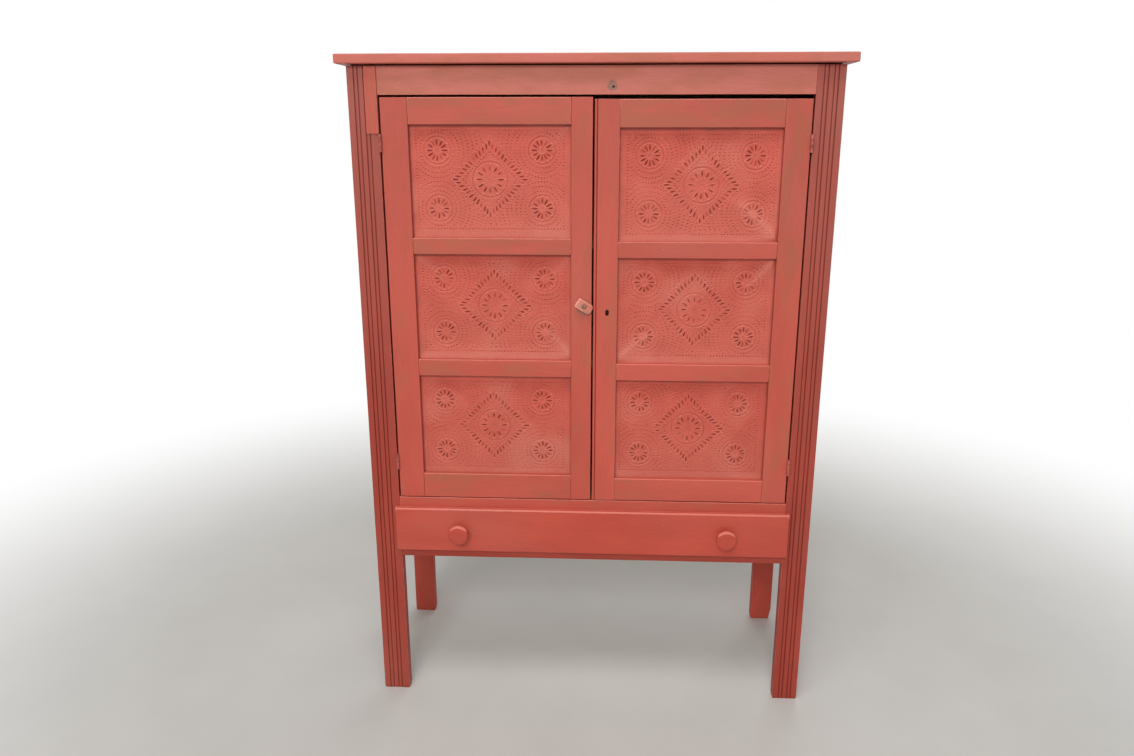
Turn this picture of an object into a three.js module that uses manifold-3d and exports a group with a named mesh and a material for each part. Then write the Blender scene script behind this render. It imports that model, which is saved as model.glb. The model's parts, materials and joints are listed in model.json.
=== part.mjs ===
// Pie safe: a painted food cupboard on tall legs, with punched tins in its doors and sides and one drawer.
// Millimetres. X runs to the right, Y to the back and Z up from the floor.
import * as THREE from 'three';
import { mergeVertices } from 'three/addons/utils/BufferGeometryUtils.js';
import Module from 'manifold-3d';

const wasm = await Module();
wasm.setup();

// Daylight and cuts
const jointGap = 0.3; // between two pieces that are nailed, glued or let into each other
const overrun = 5; // how far a cut runs past the face that it opens

// Heights of the case, from the floor up
const legClear = 359; // floor to the underside of the drawer rail
const drawerRailHeight = 28;
const drawerSpaceHeight = 90; // drawer rail to sill
const sillHeight = 31;
const doorwayHeight = 882; // sill to header
const headerHeight = 56;
const topReveal = 3; // dark line between the header and the top board
const topThickness = 19;

// Widths and depths of the case
const caseWidth = 1000; // over the posts
const caseDepth = 387; // over the posts
const postWidth = { left: 61, right: 57 };
const postThickness = 25;
const backPostWidth = 55;
const topOverhang = { side: 19.5, front: 20 };
const topChamfer = 2;
const railThickness = 22;

// Tenons of the front rails, the side rails and the door rails
const railTenon = { length: 30, thickness: 8, shoulder: 6 };
const sideTenon = { length: 15, thickness: 8, shoulder: 10 };
const doorTenonStop = 6; // wood left between the end of a door tenon and the stile's far edge
const doorTenonShare = 0.7; // of the wood behind the tins

// Two reeds run down the face of each front post
const reedFromEdge = [18.4, 38.3]; // centre of each reed, from the post's outer edge
const reedHalfWidth = 4;
const reedHeight = 3;
const quirkWidth = 1.4; // the slope outside the reed's own round
const reedSteps = 6;

// Repair strip on the left post
const patch = { width: 25, length: 132, thickness: 2.7, setIn: 0.5 };

// Old screw hole in the header
const headerHole = { x: 41, fromBottom: 15, diameter: 5, depth: 12, sides: 12 };

// Sides of the case
const sideThickness = 20;
const sideSetIn = 2; // from the posts' outer faces
const tinThickness = 1;
const sideTinGroove = 8; // how deep the side tins stand in the posts

// Back, floor and shelves
const backThickness = 12;
const backRebate = 18; // width of the rebate in each back post
const backBoardCount = 7;
const backGroove = { width: 4, depth: 2.5 };
const floorThickness = 18;
const floorTongue = 6; // how deep the floor stands in the side boards
const shelfThickness = 18;
const shelfSetBack = 45; // front of the posts to the shelf's front edge
const shelfHousing = 6; // how deep each shelf corner stands in its post
const shelfEndGap = 6.7; // between a shelf's end and the side tins

// Doors
const doorGap = 3.4;
const doorFootGap = 2;
const doorThickness = 22;
const doorFrames = {
  left: { outerStile: 56, meetingStile: 44, headGap: 4.5, topRail: 53.5, bottomRail: 57.5 },
  right: { outerStile: 53, meetingStile: 51, headGap: 8.5, topRail: 55.5, bottomRail: 52.5 },
};
const lowerRailHeight = 37.5;
const upperRailHeight = 34.5;
const tinRecess = 12; // how far the tins lie behind the door's face
const tinSideLap = 9.8; // the tin is wider than its opening by this on each side
const tinEndLap = 11.7; // and taller by this at each end
const meetingBead = { width: 5.8, height: 3, quirk: 1.4 };

// Punched pattern of a tin: low ridges round a square on its point and five rosettes
const ridge = { width: 7, height: 1.6, root: 0.5 };
const diamondRadius = 75;
const centreRosette = 36;
const cornerRosette = 27;
const cornerPlaceShare = { x: 0.325, z: 0.26 }; // of the opening's width and height
const rosetteSides = 12;
const diamondSides = 4;

// Butt hinges, one leaf on the post and one on the door
const hinge = {
  length: 36, barrelRadius: 3.5, pinRadius: 1.4, boreGap: 0.3, leafGap: 0.4, leafDepth: 22, sides: 16,
};
const hingeDrop = 95; // underside of the header to the upper hinge's middle
const hingeRise = 88; // top of the sill to the lower hinge's middle

// Turn button on the left door, and its screw
const button = {
  length: 37, width: 22, cornerRadius: 7, thickness: 10, chamfer: 1.5, seatGap: 0.4, steps: 5,
};
const buttonTilt = THREE.MathUtils.degToRad(-32); // the end over the right door hangs low
const buttonFromEdge = 15.9;
const buttonRise = 448;
const buttonScrew = { headRadius: 5, headHeight: 3, shankRadius: 2.2, depth: 16, gap: 0.3, sides: 16 };

// Keyhole, lock case and bolt of the right door
const keyhole = { radius: 4, slotWidth: 6.6, height: 14, fromEdge: 29.8, rise: 433.4, steps: 10 };
const lockCase = { fromEdge: 3, width: 44, thickness: 12, height: 76 };
const lockBolt = { length: 34, thickness: 5.5, height: 16, fromBack: 2.5, gap: 0.3 };

// Drawer
const lip = { left: 9, right: 8, end: 8, thickness: 12, chamfer: 3, seatGap: 0.4 };
const drawerPlug = { depth: 10, clearance: 3 }; // the part of the front that enters the opening
const drawerBoard = 12;
const drawerSideGap = 5; // between a drawer side and the nearer post
const drawerHeadroom = 7.5; // between the drawer sides and the sill
const drawerBackGap = 24.7; // between the drawer and the back boards
const drawerBottom = { thickness: 6, rise: 10, groove: 5 };
const runGap = 0.5; // running room of the drawer on its runners
const runner = { reach: 14, thickness: 16, guideHeight: 12 }; // reach under the drawer side
const knob = {
  fromSide: { left: 201.5, right: 192 }, radius: 23, reach: 32, neckRadius: 9, neckReach: 7, rimReach: 20,
  roundness: 4.5, crown: 1, spigotRadius: 7, sides: 24, steps: 6,
};

// Places that follow from the sizes above
const drawerRailZ = [legClear, legClear + drawerRailHeight];
const sillZ = [drawerRailZ[1] + drawerSpaceHeight, drawerRailZ[1] + drawerSpaceHeight + sillHeight];
const headerZ = [sillZ[1] + doorwayHeight, sillZ[1] + doorwayHeight + headerHeight];
const boardZ = [headerZ[1] + topReveal, headerZ[1] + topReveal + topThickness];
const halfWidth = caseWidth / 2;
const openingX = [postWidth.left - halfWidth, halfWidth - postWidth.right];
const behindPosts = postThickness;
const beforeBackPosts = caseDepth - postThickness;
const backY = caseDepth - backThickness;
const sideX = [halfWidth - sideSetIn - sideThickness, halfWidth - sideSetIn];
const sideTinX = [sideX[0] - jointGap - tinThickness, sideX[0] - jointGap];
const doorBottom = sillZ[1] + doorFootGap;
const doorWidth = (openingX[1] - openingX[0] - 3 * doorGap) / 2;
const hingeY = -(hinge.barrelRadius + jointGap);
const hingeZ = { upper: headerZ[0] - hingeDrop, lower: sillZ[1] + hingeRise };
const meetingX = { left: openingX[0] + doorGap + doorWidth, right: openingX[1] - doorGap - doorWidth };
const shelfEndX = sideTinX[0] - shelfEndGap;
const drawerSideX = Math.min(-openingX[0], openingX[1]) - drawerSideGap;
const leafThickness = (doorGap - 2 * jointGap - hinge.leafGap) / 2;
const knobX = { left: knob.fromSide.left - halfWidth, right: halfWidth - knob.fromSide.right };
const sides = { left: -1, right: 1 };

// Finishes
const paint = (name, color, roughness = 0.55, metalness = 0) => {
  const material = new THREE.MeshStandardMaterial({ color, roughness, metalness, flatShading: true });
  material.name = name;
  return material;
};
const finish = {
  frame: () => paint('red painted wood', 0xbe5c4e),
  tin: () => paint('red painted tin', 0xb9503f, 0.45, 0.2),
  hinge: () => paint('red painted iron', 0x9a4338, 0.5, 0.3),
  bare: () => paint('bare aged pine', 0xa9794e, 0.75),
  screw: () => paint('worn steel', 0x8a8178, 0.4, 0.8),
  lock: () => paint('dark iron', 0x4b443f, 0.5, 0.8),
};

// Solids

/** A closed solid from a geometry of three.js. */
function solid(geometry) {
  const bare = geometry.clone();
  bare.deleteAttribute('normal');
  bare.deleteAttribute('uv');
  const merged = mergeVertices(bare);
  const corners = merged.index.array;
  const kept = [];
  for (let i = 0; i < corners.length; i += 3) {
    const [a, b, c] = corners.slice(i, i + 3);
    if (a !== b && b !== c && c !== a) kept.push(a, b, c);
  }
  const vertProperties = new Float32Array(merged.attributes.position.array);
  const mesh = new wasm.Mesh({ numProp: 3, vertProperties, triVerts: new Uint32Array(kept) });
  return new wasm.Manifold(mesh);
}

/** The geometry of three.js that holds a solid's surface. */
function surface(manifold) {
  const mesh = manifold.getMesh();
  const geometry = new THREE.BufferGeometry();
  geometry.setAttribute('position', new THREE.BufferAttribute(new Float32Array(mesh.vertProperties), 3));
  geometry.setIndex(new THREE.BufferAttribute(new Uint32Array(mesh.triVerts), 1));
  geometry.computeVertexNormals();
  return geometry;
}

/** One piece from a first geometry, with others joined to it and then others cut from it. */
function worked(first, { add = [], cut = [] }) {
  let body = solid(first);
  for (const geometry of add) body = body.add(solid(geometry));
  for (const geometry of cut) body = body.subtract(solid(geometry));
  return surface(body);
}

/** A block between three spans, each a pair of low and high. */
function block([xLow, xHigh], [yLow, yHigh], [zLow, zHigh]) {
  const geometry = new THREE.BoxGeometry(xHigh - xLow, yHigh - yLow, zHigh - zLow);
  return geometry.translate((xLow + xHigh) / 2, (yLow + yHigh) / 2, (zLow + zHigh) / 2);
}

/** The same spans, grown by a gap on every side. */
const grown = (spans, gap = jointGap) => spans.map(([low, high]) => [low - gap, high + gap]);

/** A span beside the middle of the case, mirrored for the left side. */
const beside = (side, near, far) => (side > 0 ? [near, far] : [-far, -near]);

/** A span of a given length round a middle. */
const around = (middle, length) => [middle - length / 2, middle + length / 2];

/** A plan outline of points [x, y] raised from one height to another. */
function raised(points, [zLow, zHigh]) {
  const shape = new THREE.Shape(points.map(([x, y]) => new THREE.Vector2(x, y)));
  return new THREE.ExtrudeGeometry(shape, { depth: zHigh - zLow, bevelEnabled: false }).translate(0, 0, zLow);
}

/** A round bar along Z. */
function bar(radius, [zLow, zHigh], segments) {
  const geometry = new THREE.CylinderGeometry(radius, radius, zHigh - zLow, segments);
  return geometry.rotateX(Math.PI / 2).translate(0, 0, (zLow + zHigh) / 2);
}

/** A round bar along Y. */
function pinAlongY(radius, [yLow, yHigh], segments) {
  const geometry = new THREE.CylinderGeometry(radius, radius, yHigh - yLow, segments);
  return geometry.translate(0, (yLow + yHigh) / 2, 0);
}

/** A flat plate with a chamfered front edge, standing in the XZ plane, its back at Y zero. */
function plate(shape, thickness, chamfer, curveSegments) {
  const settings = {
    depth: thickness - chamfer, bevelEnabled: true, bevelThickness: chamfer, bevelSize: chamfer,
    bevelOffset: -chamfer, bevelSegments: 1, curveSegments,
  };
  const front = new THREE.ExtrudeGeometry(shape, settings).rotateX(Math.PI / 2);
  front.computeBoundingBox();
  const { min, max } = front.boundingBox;
  const keep = block([min.x, max.x], [-thickness, 0], [min.z, max.z]);
  return surface(solid(front).intersect(solid(keep)));
}

/** A rectangle with round corners, centred. */
function roundedRectangle(width, height, radius) {
  const shape = new THREE.Shape();
  const x = width / 2 - radius;
  const y = height / 2 - radius;
  shape.absarc(x, y, radius, 0, Math.PI / 2);
  shape.absarc(-x, y, radius, Math.PI / 2, Math.PI);
  shape.absarc(-x, -y, radius, Math.PI, 3 * Math.PI / 2);
  shape.absarc(x, -y, radius, 3 * Math.PI / 2, 2 * Math.PI);
  return shape;
}

/** A rectangle between two spans. */
function rectangle([xLow, xHigh], [yLow, yHigh]) {
  const corners = [[xLow, yLow], [xHigh, yLow], [xHigh, yHigh], [xLow, yHigh]];
  return new THREE.Shape(corners.map(([x, y]) => new THREE.Vector2(x, y)));
}

const names = new Set();

/** Puts a named piece in a group. */
function place(group, name, geometry, material) {
  if (names.has(name)) throw new Error(`two pieces are named ${name}`);
  names.add(name);
  const mesh = new THREE.Mesh(geometry, material);
  mesh.name = name;
  group.add(mesh);
  return mesh;
}

// Joints between boards

/** Spans of the tenon that a front rail has at one end. */
function frontTenon(side, [zLow, zHigh]) {
  const face = side > 0 ? openingX[1] : openingX[0];
  const x = side > 0 ? [face, face + railTenon.length] : [face - railTenon.length, face];
  const z = [zLow + railTenon.shoulder, zHigh - railTenon.shoulder];
  return [x, around(railThickness / 2, railTenon.thickness), z];
}

/** Spans of the tenon that a side rail has at its front or back end. */
function sideRailTenon(side, end, [zLow, zHigh]) {
  const middle = (sideX[0] + sideX[1]) / 2;
  const x = beside(side, middle - sideTenon.thickness / 2, middle + sideTenon.thickness / 2);
  const y = end === 'front'
    ? [behindPosts - sideTenon.length, behindPosts]
    : [beforeBackPosts, beforeBackPosts + sideTenon.length];
  return [x, y, [zLow + sideTenon.shoulder, zHigh - sideTenon.shoulder]];
}

// Heights of a door's rails and openings, from the bottom up
function doorLevels(frame) {
  const top = headerZ[0] - frame.headGap;
  const rails = frame.topRail + upperRailHeight + lowerRailHeight + frame.bottomRail;
  const sight = (top - doorBottom - rails) / 3;
  const levels = {};
  levels.bottomRail = [doorBottom, doorBottom + frame.bottomRail];
  levels.sightBottom = [levels.bottomRail[1], levels.bottomRail[1] + sight];
  levels.lowerRail = [levels.sightBottom[1], levels.sightBottom[1] + lowerRailHeight];
  levels.sightMiddle = [levels.lowerRail[1], levels.lowerRail[1] + sight];
  levels.upperRail = [levels.sightMiddle[1], levels.sightMiddle[1] + upperRailHeight];
  levels.sightTop = [levels.upperRail[1], levels.upperRail[1] + sight];
  levels.topRail = [levels.sightTop[1], top];
  return levels;
}

const levels = doorLevels(doorFrames.left);
const sideRails = {
  top: [levels.topRail[0], boardZ[0] - jointGap],
  upper: levels.upperRail,
  lower: levels.lowerRail,
  bottom: [legClear, levels.bottomRail[1]],
};
const sideTinZ = [levels.sightBottom[0] - tinEndLap, levels.sightTop[1] + tinEndLap];
const floorZ = [sillZ[1] - floorThickness, sillZ[1]];
const shelves = {
  lower: around((levels.lowerRail[0] + levels.lowerRail[1]) / 2, shelfThickness),
  upper: around((levels.upperRail[0] + levels.upperRail[1]) / 2, shelfThickness),
};

// Posts

/** Points of a front post's plan, from its outer edge inwards, with two reeds on its face. */
function reededPlan(side, width) {
  const plan = [[0, postThickness], [0, 0]];
  for (const centre of reedFromEdge) {
    plan.push([centre - reedHalfWidth - quirkWidth, 0]);
    for (let i = 0; i <= reedSteps; i += 1) {
      const turn = Math.PI * (1 - i / reedSteps);
      plan.push([centre + reedHalfWidth * Math.cos(turn), reedHeight * (1 - Math.sin(turn))]);
    }
    plan.push([centre + reedHalfWidth + quirkWidth, 0]);
  }
  plan.push([width, 0], [width, postThickness]);
  return plan.map(([u, y]) => [side * (halfWidth - u), y]);
}

/** The slots in a post's inner side that hold the side tins and the shelves. */
function postHousings(side, end) {
  const face = end === 'front' ? behindPosts : beforeBackPosts;
  const into = end === 'front' ? -1 : 1;
  const depthSpan = (depth) => (into < 0 ? [face - depth, face + overrun] : [face - overrun, face + depth]);
  const tin = beside(side, sideTinX[0] - jointGap, sideTinX[1] + jointGap);
  const tinZ = [sideTinZ[0] - jointGap, sideTinZ[1] + jointGap];
  const slots = [block(tin, depthSpan(sideTinGroove + jointGap), tinZ)];
  const widest = Math.max(postWidth.left, postWidth.right, backPostWidth);
  const shelf = beside(side, halfWidth - widest - overrun, shelfEndX + jointGap);
  for (const [low, high] of Object.values(shelves)) {
    slots.push(block(shelf, depthSpan(shelfHousing + jointGap), [low - jointGap, high + jointGap]));
  }
  return slots;
}

function frontPost(name) {
  const side = sides[name];
  const cut = [drawerRailZ, sillZ, headerZ].map((z) => block(...grown(frontTenon(side, z))));
  for (const z of Object.values(sideRails)) cut.push(block(...grown(sideRailTenon(side, 'front', z))));
  cut.push(...postHousings(side, 'front'));
  return worked(raised(reededPlan(side, postWidth[name]), [0, headerZ[1]]), { cut });
}

function backPost(name) {
  const side = sides[name];
  const cut = postHousings(side, 'back');
  for (const z of Object.values(sideRails)) cut.push(block(...grown(sideRailTenon(side, 'back', z))));
  const rebate = beside(side, halfWidth - backPostWidth - overrun, halfWidth - backPostWidth + backRebate);
  cut.push(block(rebate, [backY - jointGap, caseDepth + overrun], [legClear - jointGap, headerZ[1] + overrun]));
  const x = beside(side, halfWidth - backPostWidth, halfWidth);
  return worked(block(x, [beforeBackPosts, caseDepth], [0, headerZ[1]]), { cut });
}

// Rails of the case

function frontRail(z, cut = []) {
  const shoulders = [openingX[0] + jointGap, openingX[1] - jointGap];
  const add = Object.values(sides).map((side) => {
    const [x, y, height] = frontTenon(side, z);
    return block([x[0] - jointGap * (side > 0 ? 2 : 0), x[1] + jointGap * (side > 0 ? 0 : 2)], y, height);
  });
  return worked(block(shoulders, [0, railThickness], z), { add, cut });
}

function header() {
  const { x, fromBottom, diameter, depth, sides: segments } = headerHole;
  const hole = pinAlongY(diameter / 2, [-overrun, depth], segments).translate(x, 0, headerZ[0] + fromBottom);
  return frontRail(headerZ, [hole]);
}

function sideRail(name, level) {
  const side = sides[name];
  const z = sideRails[level];
  const x = beside(side, ...sideX);
  const add = ['front', 'back'].map((end) => {
    const [across, [yLow, yHigh], height] = sideRailTenon(side, end, z);
    const y = end === 'front' ? [yLow, yHigh + 2 * jointGap] : [yLow - 2 * jointGap, yHigh];
    return block(across, y, height);
  });
  const length = [behindPosts + jointGap, beforeBackPosts - jointGap];
  const cut = [];
  if (level === 'bottom') {
    const reach = drawerSideX - runner.reach;
    const top = drawerRailZ[1];
    const guide = drawerSideX + runGap;
    const root = sideX[0] + overrun;
    add.push(block(beside(side, reach, root), length, [top - runner.thickness, top]));
    add.push(block(beside(side, guide, root), length, [top - runner.thickness, top + runner.guideHeight]));
    const dado = beside(side, sideX[0] - overrun, sideX[0] + floorTongue + jointGap);
    cut.push(block(dado, [0, caseDepth], [floorZ[0] - jointGap, floorZ[1] + jointGap]));
  }
  return worked(block(x, length, z), { add, cut });
}

// Boards of the case

function topBoard() {
  const x = [-halfWidth - topOverhang.side + topChamfer, halfWidth + topOverhang.side - topChamfer];
  const y = [-topOverhang.front + topChamfer, caseDepth - topChamfer];
  const depth = topThickness - 2 * topChamfer;
  const settings = {
    depth, bevelEnabled: true, bevelThickness: topChamfer, bevelSize: topChamfer, bevelSegments: 1,
  };
  return new THREE.ExtrudeGeometry(rectangle(x, y), settings).translate(0, 0, boardZ[0] + topChamfer);
}

/** Upright boards, drawn as one panel with a groove at each joint, inside and out. */
function backBoards() {
  const reach = halfWidth - backPostWidth + backRebate - jointGap;
  const boardWidth = 2 * reach / backBoardCount;
  const inner = [];
  const outer = [];
  for (let i = 1; i < backBoardCount; i += 1) {
    const x = -reach + i * boardWidth;
    const half = backGroove.width / 2;
    inner.push([x - half, backY], [x, backY + backGroove.depth], [x + half, backY]);
    outer.unshift([x + half, caseDepth], [x, caseDepth - backGroove.depth], [x - half, caseDepth]);
  }
  const plan = [[-reach, backY], ...inner, [reach, backY], [reach, caseDepth], ...outer, [-reach, caseDepth]];
  return raised(plan, [legClear, boardZ[0] - jointGap]);
}

/** The floor stands in slots in the side boards and reaches forward between the posts to the sill. */
function caseFloor() {
  const wide = sideX[0] + floorTongue;
  const body = block([-wide, wide], [behindPosts + jointGap, beforeBackPosts - jointGap], floorZ);
  const narrow = halfWidth - Math.max(postWidth.left, postWidth.right, backPostWidth) - jointGap;
  const tongue = block([-narrow, narrow], [railThickness + jointGap, backY - jointGap], floorZ);
  return worked(body, { add: [tongue] });
}

/** A shelf whose four corners stand in slots in the posts. */
function shelf(z) {
  const inner = halfWidth - Math.min(postWidth.left, postWidth.right) + jointGap;
  const backInner = halfWidth - backPostWidth - jointGap;
  const front = behindPosts - shelfHousing;
  const back = beforeBackPosts + shelfHousing;
  const right = [
    [inner, shelfSetBack], [inner, front], [shelfEndX, front], [shelfEndX, back], [backInner, back],
    [backInner, backY - jointGap],
  ];
  const left = right.map(([x, y]) => [-x, y]).reverse();
  return raised([...right, ...left], z);
}

// Tins

/** A low ridge round a closed figure with its middle at the origin, rising towards the front. */
function ridgeRing(radius, segments) {
  const [inner, outer] = around(radius, ridge.width);
  const rise = [[inner, 0], [outer, 0], [radius, ridge.height + ridge.root], [inner, 0]];
  const geometry = new THREE.LatheGeometry(rise.map(([r, y]) => new THREE.Vector2(r, y)), segments);
  return geometry.rotateX(Math.PI).translate(0, ridge.root, 0);
}

/** The ridges of one tin's pattern, in the XZ plane, for an opening of a given size. */
function tinRidges(width, height) {
  const x = width * cornerPlaceShare.x;
  const z = height * cornerPlaceShare.z;
  const rings = [ridgeRing(diamondRadius, diamondSides), ridgeRing(centreRosette, rosetteSides)];
  for (const [right, up] of [[1, 1], [1, -1], [-1, 1], [-1, -1]]) {
    rings.push(ridgeRing(cornerRosette, rosetteSides).translate(right * x, 0, up * z));
  }
  return rings;
}

/** One tin of a door, a little larger than its opening. */
function doorTin(sightX, sightZ) {
  const face = tinRecess + jointGap;
  const x = [sightX[0] - tinSideLap, sightX[1] + tinSideLap];
  const z = [sightZ[0] - tinEndLap, sightZ[1] + tinEndLap];
  const ridges = tinRidges(sightX[1] - sightX[0], sightZ[1] - sightZ[0]);
  const middle = [(sightX[0] + sightX[1]) / 2, face, (sightZ[0] + sightZ[1]) / 2];
  const add = ridges.map((ring) => ring.translate(...middle));
  return worked(block(x, [face, face + tinThickness], z), { add });
}

/** The tins of one side, behind the side rails, with a pattern in each opening. */
function sideTins(name) {
  const side = sides[name];
  const y = [behindPosts - sideTinGroove, beforeBackPosts + sideTinGroove];
  const middle = (behindPosts + beforeBackPosts) / 2;
  const add = [];
  for (const sight of [levels.sightBottom, levels.sightMiddle, levels.sightTop]) {
    for (const ring of tinRidges(beforeBackPosts - behindPosts, sight[1] - sight[0])) {
      ring.rotateZ(side * Math.PI / 2);
      add.push(ring.translate(side * sideTinX[1], middle, (sight[0] + sight[1]) / 2));
    }
  }
  return worked(block(beside(side, ...sideTinX), y, sideTinZ), { add });
}

// Doors

/** Spans of the X that a door's frame takes: its outer stile, its openings and its meeting stile. */
function doorSpans(name) {
  const { outerStile, meetingStile } = doorFrames[name];
  const edge = name === 'left' ? openingX[0] + doorGap : openingX[1] - doorGap;
  const toMiddle = -sides[name];
  const outer = [edge, edge + toMiddle * outerStile];
  const meeting = [meetingX[name] - toMiddle * meetingStile, meetingX[name]];
  const sorted = (span) => [Math.min(...span), Math.max(...span)];
  return { outer: sorted(outer), sight: sorted([outer[1], meeting[0]]), meeting: sorted(meeting) };
}

const rebateSide = tinSideLap + jointGap;
const rebateEnd = tinEndLap + jointGap;

/** Spans of the tenon at one end of a door rail, in the wood behind the tins. */
function doorRailTenon(name, side, z) {
  const { outer, sight, meeting } = doorSpans(name);
  const stileSpan = side === sides[name] ? outer : meeting;
  const x = side > 0
    ? [sight[1] + rebateSide, stileSpan[1] - doorTenonStop]
    : [stileSpan[0] + doorTenonStop, sight[0] - rebateSide];
  const thickness = doorTenonShare * (doorThickness - tinRecess);
  return [x, around((tinRecess + doorThickness) / 2, thickness), z];
}

/** A door's rails: the height of each face, and of its back behind the tins. */
function doorRails(name) {
  const at = doorLevels(doorFrames[name]);
  return {
    rail_top: { face: at.topRail, back: [at.topRail[0] + rebateEnd, at.topRail[1]] },
    rail_upper: { face: at.upperRail, back: [at.upperRail[0] + rebateEnd, at.upperRail[1] - rebateEnd] },
    rail_lower: { face: at.lowerRail, back: [at.lowerRail[0] + rebateEnd, at.lowerRail[1] - rebateEnd] },
    rail_bottom: { face: at.bottomRail, back: [at.bottomRail[0], at.bottomRail[1] - rebateEnd] },
  };
}

/** Shortens a tenon's height where its rail has no rebate, so that the mortise stays inside the stile. */
function closedEnds(back, face) {
  const shorten = (level, edge, sign) => (level === edge ? level + sign * railTenon.shoulder : level);
  return [shorten(back[0], face[0], 1), shorten(back[1], face[1], -1)];
}

function doorRail(name, { face, back }) {
  const { sight } = doorSpans(name);
  const between = [sight[0] + jointGap, sight[1] - jointGap];
  const front = block(between, [0, tinRecess], face);
  const behindStiles = [sight[0] - rebateSide + jointGap, sight[1] + rebateSide - jointGap];
  const add = [
    block(between, [0, doorThickness], back),
    block(behindStiles, [tinRecess + jointGap, doorThickness], back),
  ];
  for (const side of [-1, 1]) {
    const [x, y, z] = doorRailTenon(name, side, closedEnds(back, face));
    add.push(block(side > 0 ? [x[0] - 2 * jointGap, x[1]] : [x[0], x[1] + 2 * jointGap], y, z));
  }
  return worked(front, { add });
}

/** A stile's plan: full width at the face, narrower behind where the tins lie. */
function stilePlan(stile, sight, bead) {
  const toSight = sight[0] >= stile[1] ? 1 : -1;
  const width = stile[1] - stile[0];
  const edge = toSight > 0 ? stile[0] : stile[1];
  const plan = [[0, doorThickness]];
  if (bead) {
    for (let i = 0; i <= reedSteps; i += 1) {
      const turn = Math.PI * (1 - i / reedSteps);
      plan.push([bead.width / 2 * (1 + Math.cos(turn)), bead.height * (1 - Math.sin(turn))]);
    }
    plan.push([bead.width + bead.quirk, 0]);
  } else {
    plan.push([0, 0]);
  }
  const narrow = width - rebateSide;
  plan.push([width, 0], [width, tinRecess], [narrow, tinRecess], [narrow, doorThickness]);
  return plan.map(([u, y]) => [edge + toSight * u, y]);
}

function stile(name, which, cut = []) {
  const spans = doorSpans(name);
  const side = (which === 'meeting' ? -1 : 1) * sides[name];
  const rails = Object.values(doorRails(name));
  const mortises = rails.map(({ face, back }) => {
    return block(...grown(doorRailTenon(name, side, closedEnds(back, face))));
  });
  const bead = name === 'right' && which === 'meeting' ? meetingBead : null;
  const top = headerZ[0] - doorFrames[name].headGap;
  const stock = raised(stilePlan(spans[which], spans.sight, bead), [doorBottom, top]);
  return worked(stock, { cut: [...mortises, ...cut] });
}

// Hinges

/** Height of one end knuckle; the middle one is shorter by the gaps. */
const knuckle = hinge.length / 3;

/** The leaf on the post, with the end knuckles and the pin, its pin on the Z axis. */
function postLeaf(side) {
  const half = hinge.length / 2;
  const ends = [[-half, knuckle - half], [half - knuckle, half]];
  const x = beside(side, doorGap / 2 - jointGap - leafThickness, doorGap / 2 - jointGap);
  const add = [bar(hinge.pinRadius, [-half, half], hinge.sides)];
  for (const z of ends) {
    add.push(bar(hinge.barrelRadius, z, hinge.sides), block(x, [0, hinge.barrelRadius + 2 * jointGap], z));
  }
  return worked(block(x, [hinge.barrelRadius + jointGap, hinge.leafDepth], [-half, half]), { add });
}

/** The leaf on the door, with the middle knuckle. */
function doorLeaf(side) {
  const half = hinge.length / 2;
  const z = around(0, knuckle - 2 * jointGap);
  const x = beside(-side, doorGap / 2 - jointGap - leafThickness, doorGap / 2 - jointGap);
  const add = [bar(hinge.barrelRadius, z, hinge.sides), block(x, [0, hinge.barrelRadius + 2 * jointGap], z)];
  const cut = [bar(hinge.pinRadius + hinge.boreGap, [z[0] - overrun, z[1] + overrun], hinge.sides)];
  return worked(block(x, [hinge.barrelRadius + jointGap, hinge.leafDepth], [-half, half]), { add, cut });
}

const hingeX = { left: openingX[0] + doorGap / 2, right: openingX[1] - doorGap / 2 };

function placeHinges(name, root, door) {
  const side = sides[name];
  for (const [level, z] of Object.entries(hingeZ)) {
    const onPost = place(root, `hinge_${name}_${level}_post_leaf`, postLeaf(side), finish.hinge());
    const onDoor = place(door, `hinge_${name}_${level}_door_leaf`, doorLeaf(side), finish.hinge());
    for (const leaf of [onPost, onDoor]) leaf.position.set(hingeX[name], hingeY, z);
  }
}

// Small parts of the doors

const buttonPivot = [meetingX.left - buttonFromEdge, doorBottom + buttonRise];

function turnButton() {
  const shape = roundedRectangle(button.length, button.width, button.cornerRadius);
  const body = plate(shape, button.thickness, button.chamfer, button.steps);
  const { headRadius, headHeight, shankRadius, gap, sides: segments } = buttonScrew;
  const before = -button.thickness - overrun;
  const bore = pinAlongY(shankRadius + gap, [before, overrun], segments);
  const sink = pinAlongY(headRadius + gap, [before, headHeight - button.thickness], segments);
  return worked(body, { cut: [bore, sink] });
}

/** The screw that holds the button, with a flat round head let into it. */
function turnScrew() {
  const { headRadius, headHeight, shankRadius, depth, gap, sides: segments } = buttonScrew;
  const front = -button.seatGap - button.thickness;
  const head = pinAlongY(headRadius, [front, front + headHeight - gap], segments);
  return worked(head, { add: [pinAlongY(shankRadius, [front + headHeight / 2, depth], segments)] });
}

function screwHole() {
  const { shankRadius, depth, gap, sides: segments } = buttonScrew;
  const hole = pinAlongY(shankRadius + gap, [-overrun, depth + gap], segments);
  return hole.translate(buttonPivot[0], 0, buttonPivot[1]);
}

const keyholeAt = [meetingX.right + keyhole.fromEdge, doorBottom + keyhole.rise];

/** A keyhole's outline, round above and a slot below. */
function keyholeShape() {
  const half = keyhole.slotWidth / 2;
  const top = keyhole.height / 2 - keyhole.radius;
  const open = Math.asin(half / keyhole.radius);
  const shape = new THREE.Shape();
  shape.moveTo(-half, -keyhole.height / 2);
  shape.lineTo(half, -keyhole.height / 2);
  shape.absarc(0, top, keyhole.radius, open - Math.PI / 2, 3 * Math.PI / 2 - open);
  return shape;
}

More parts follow.
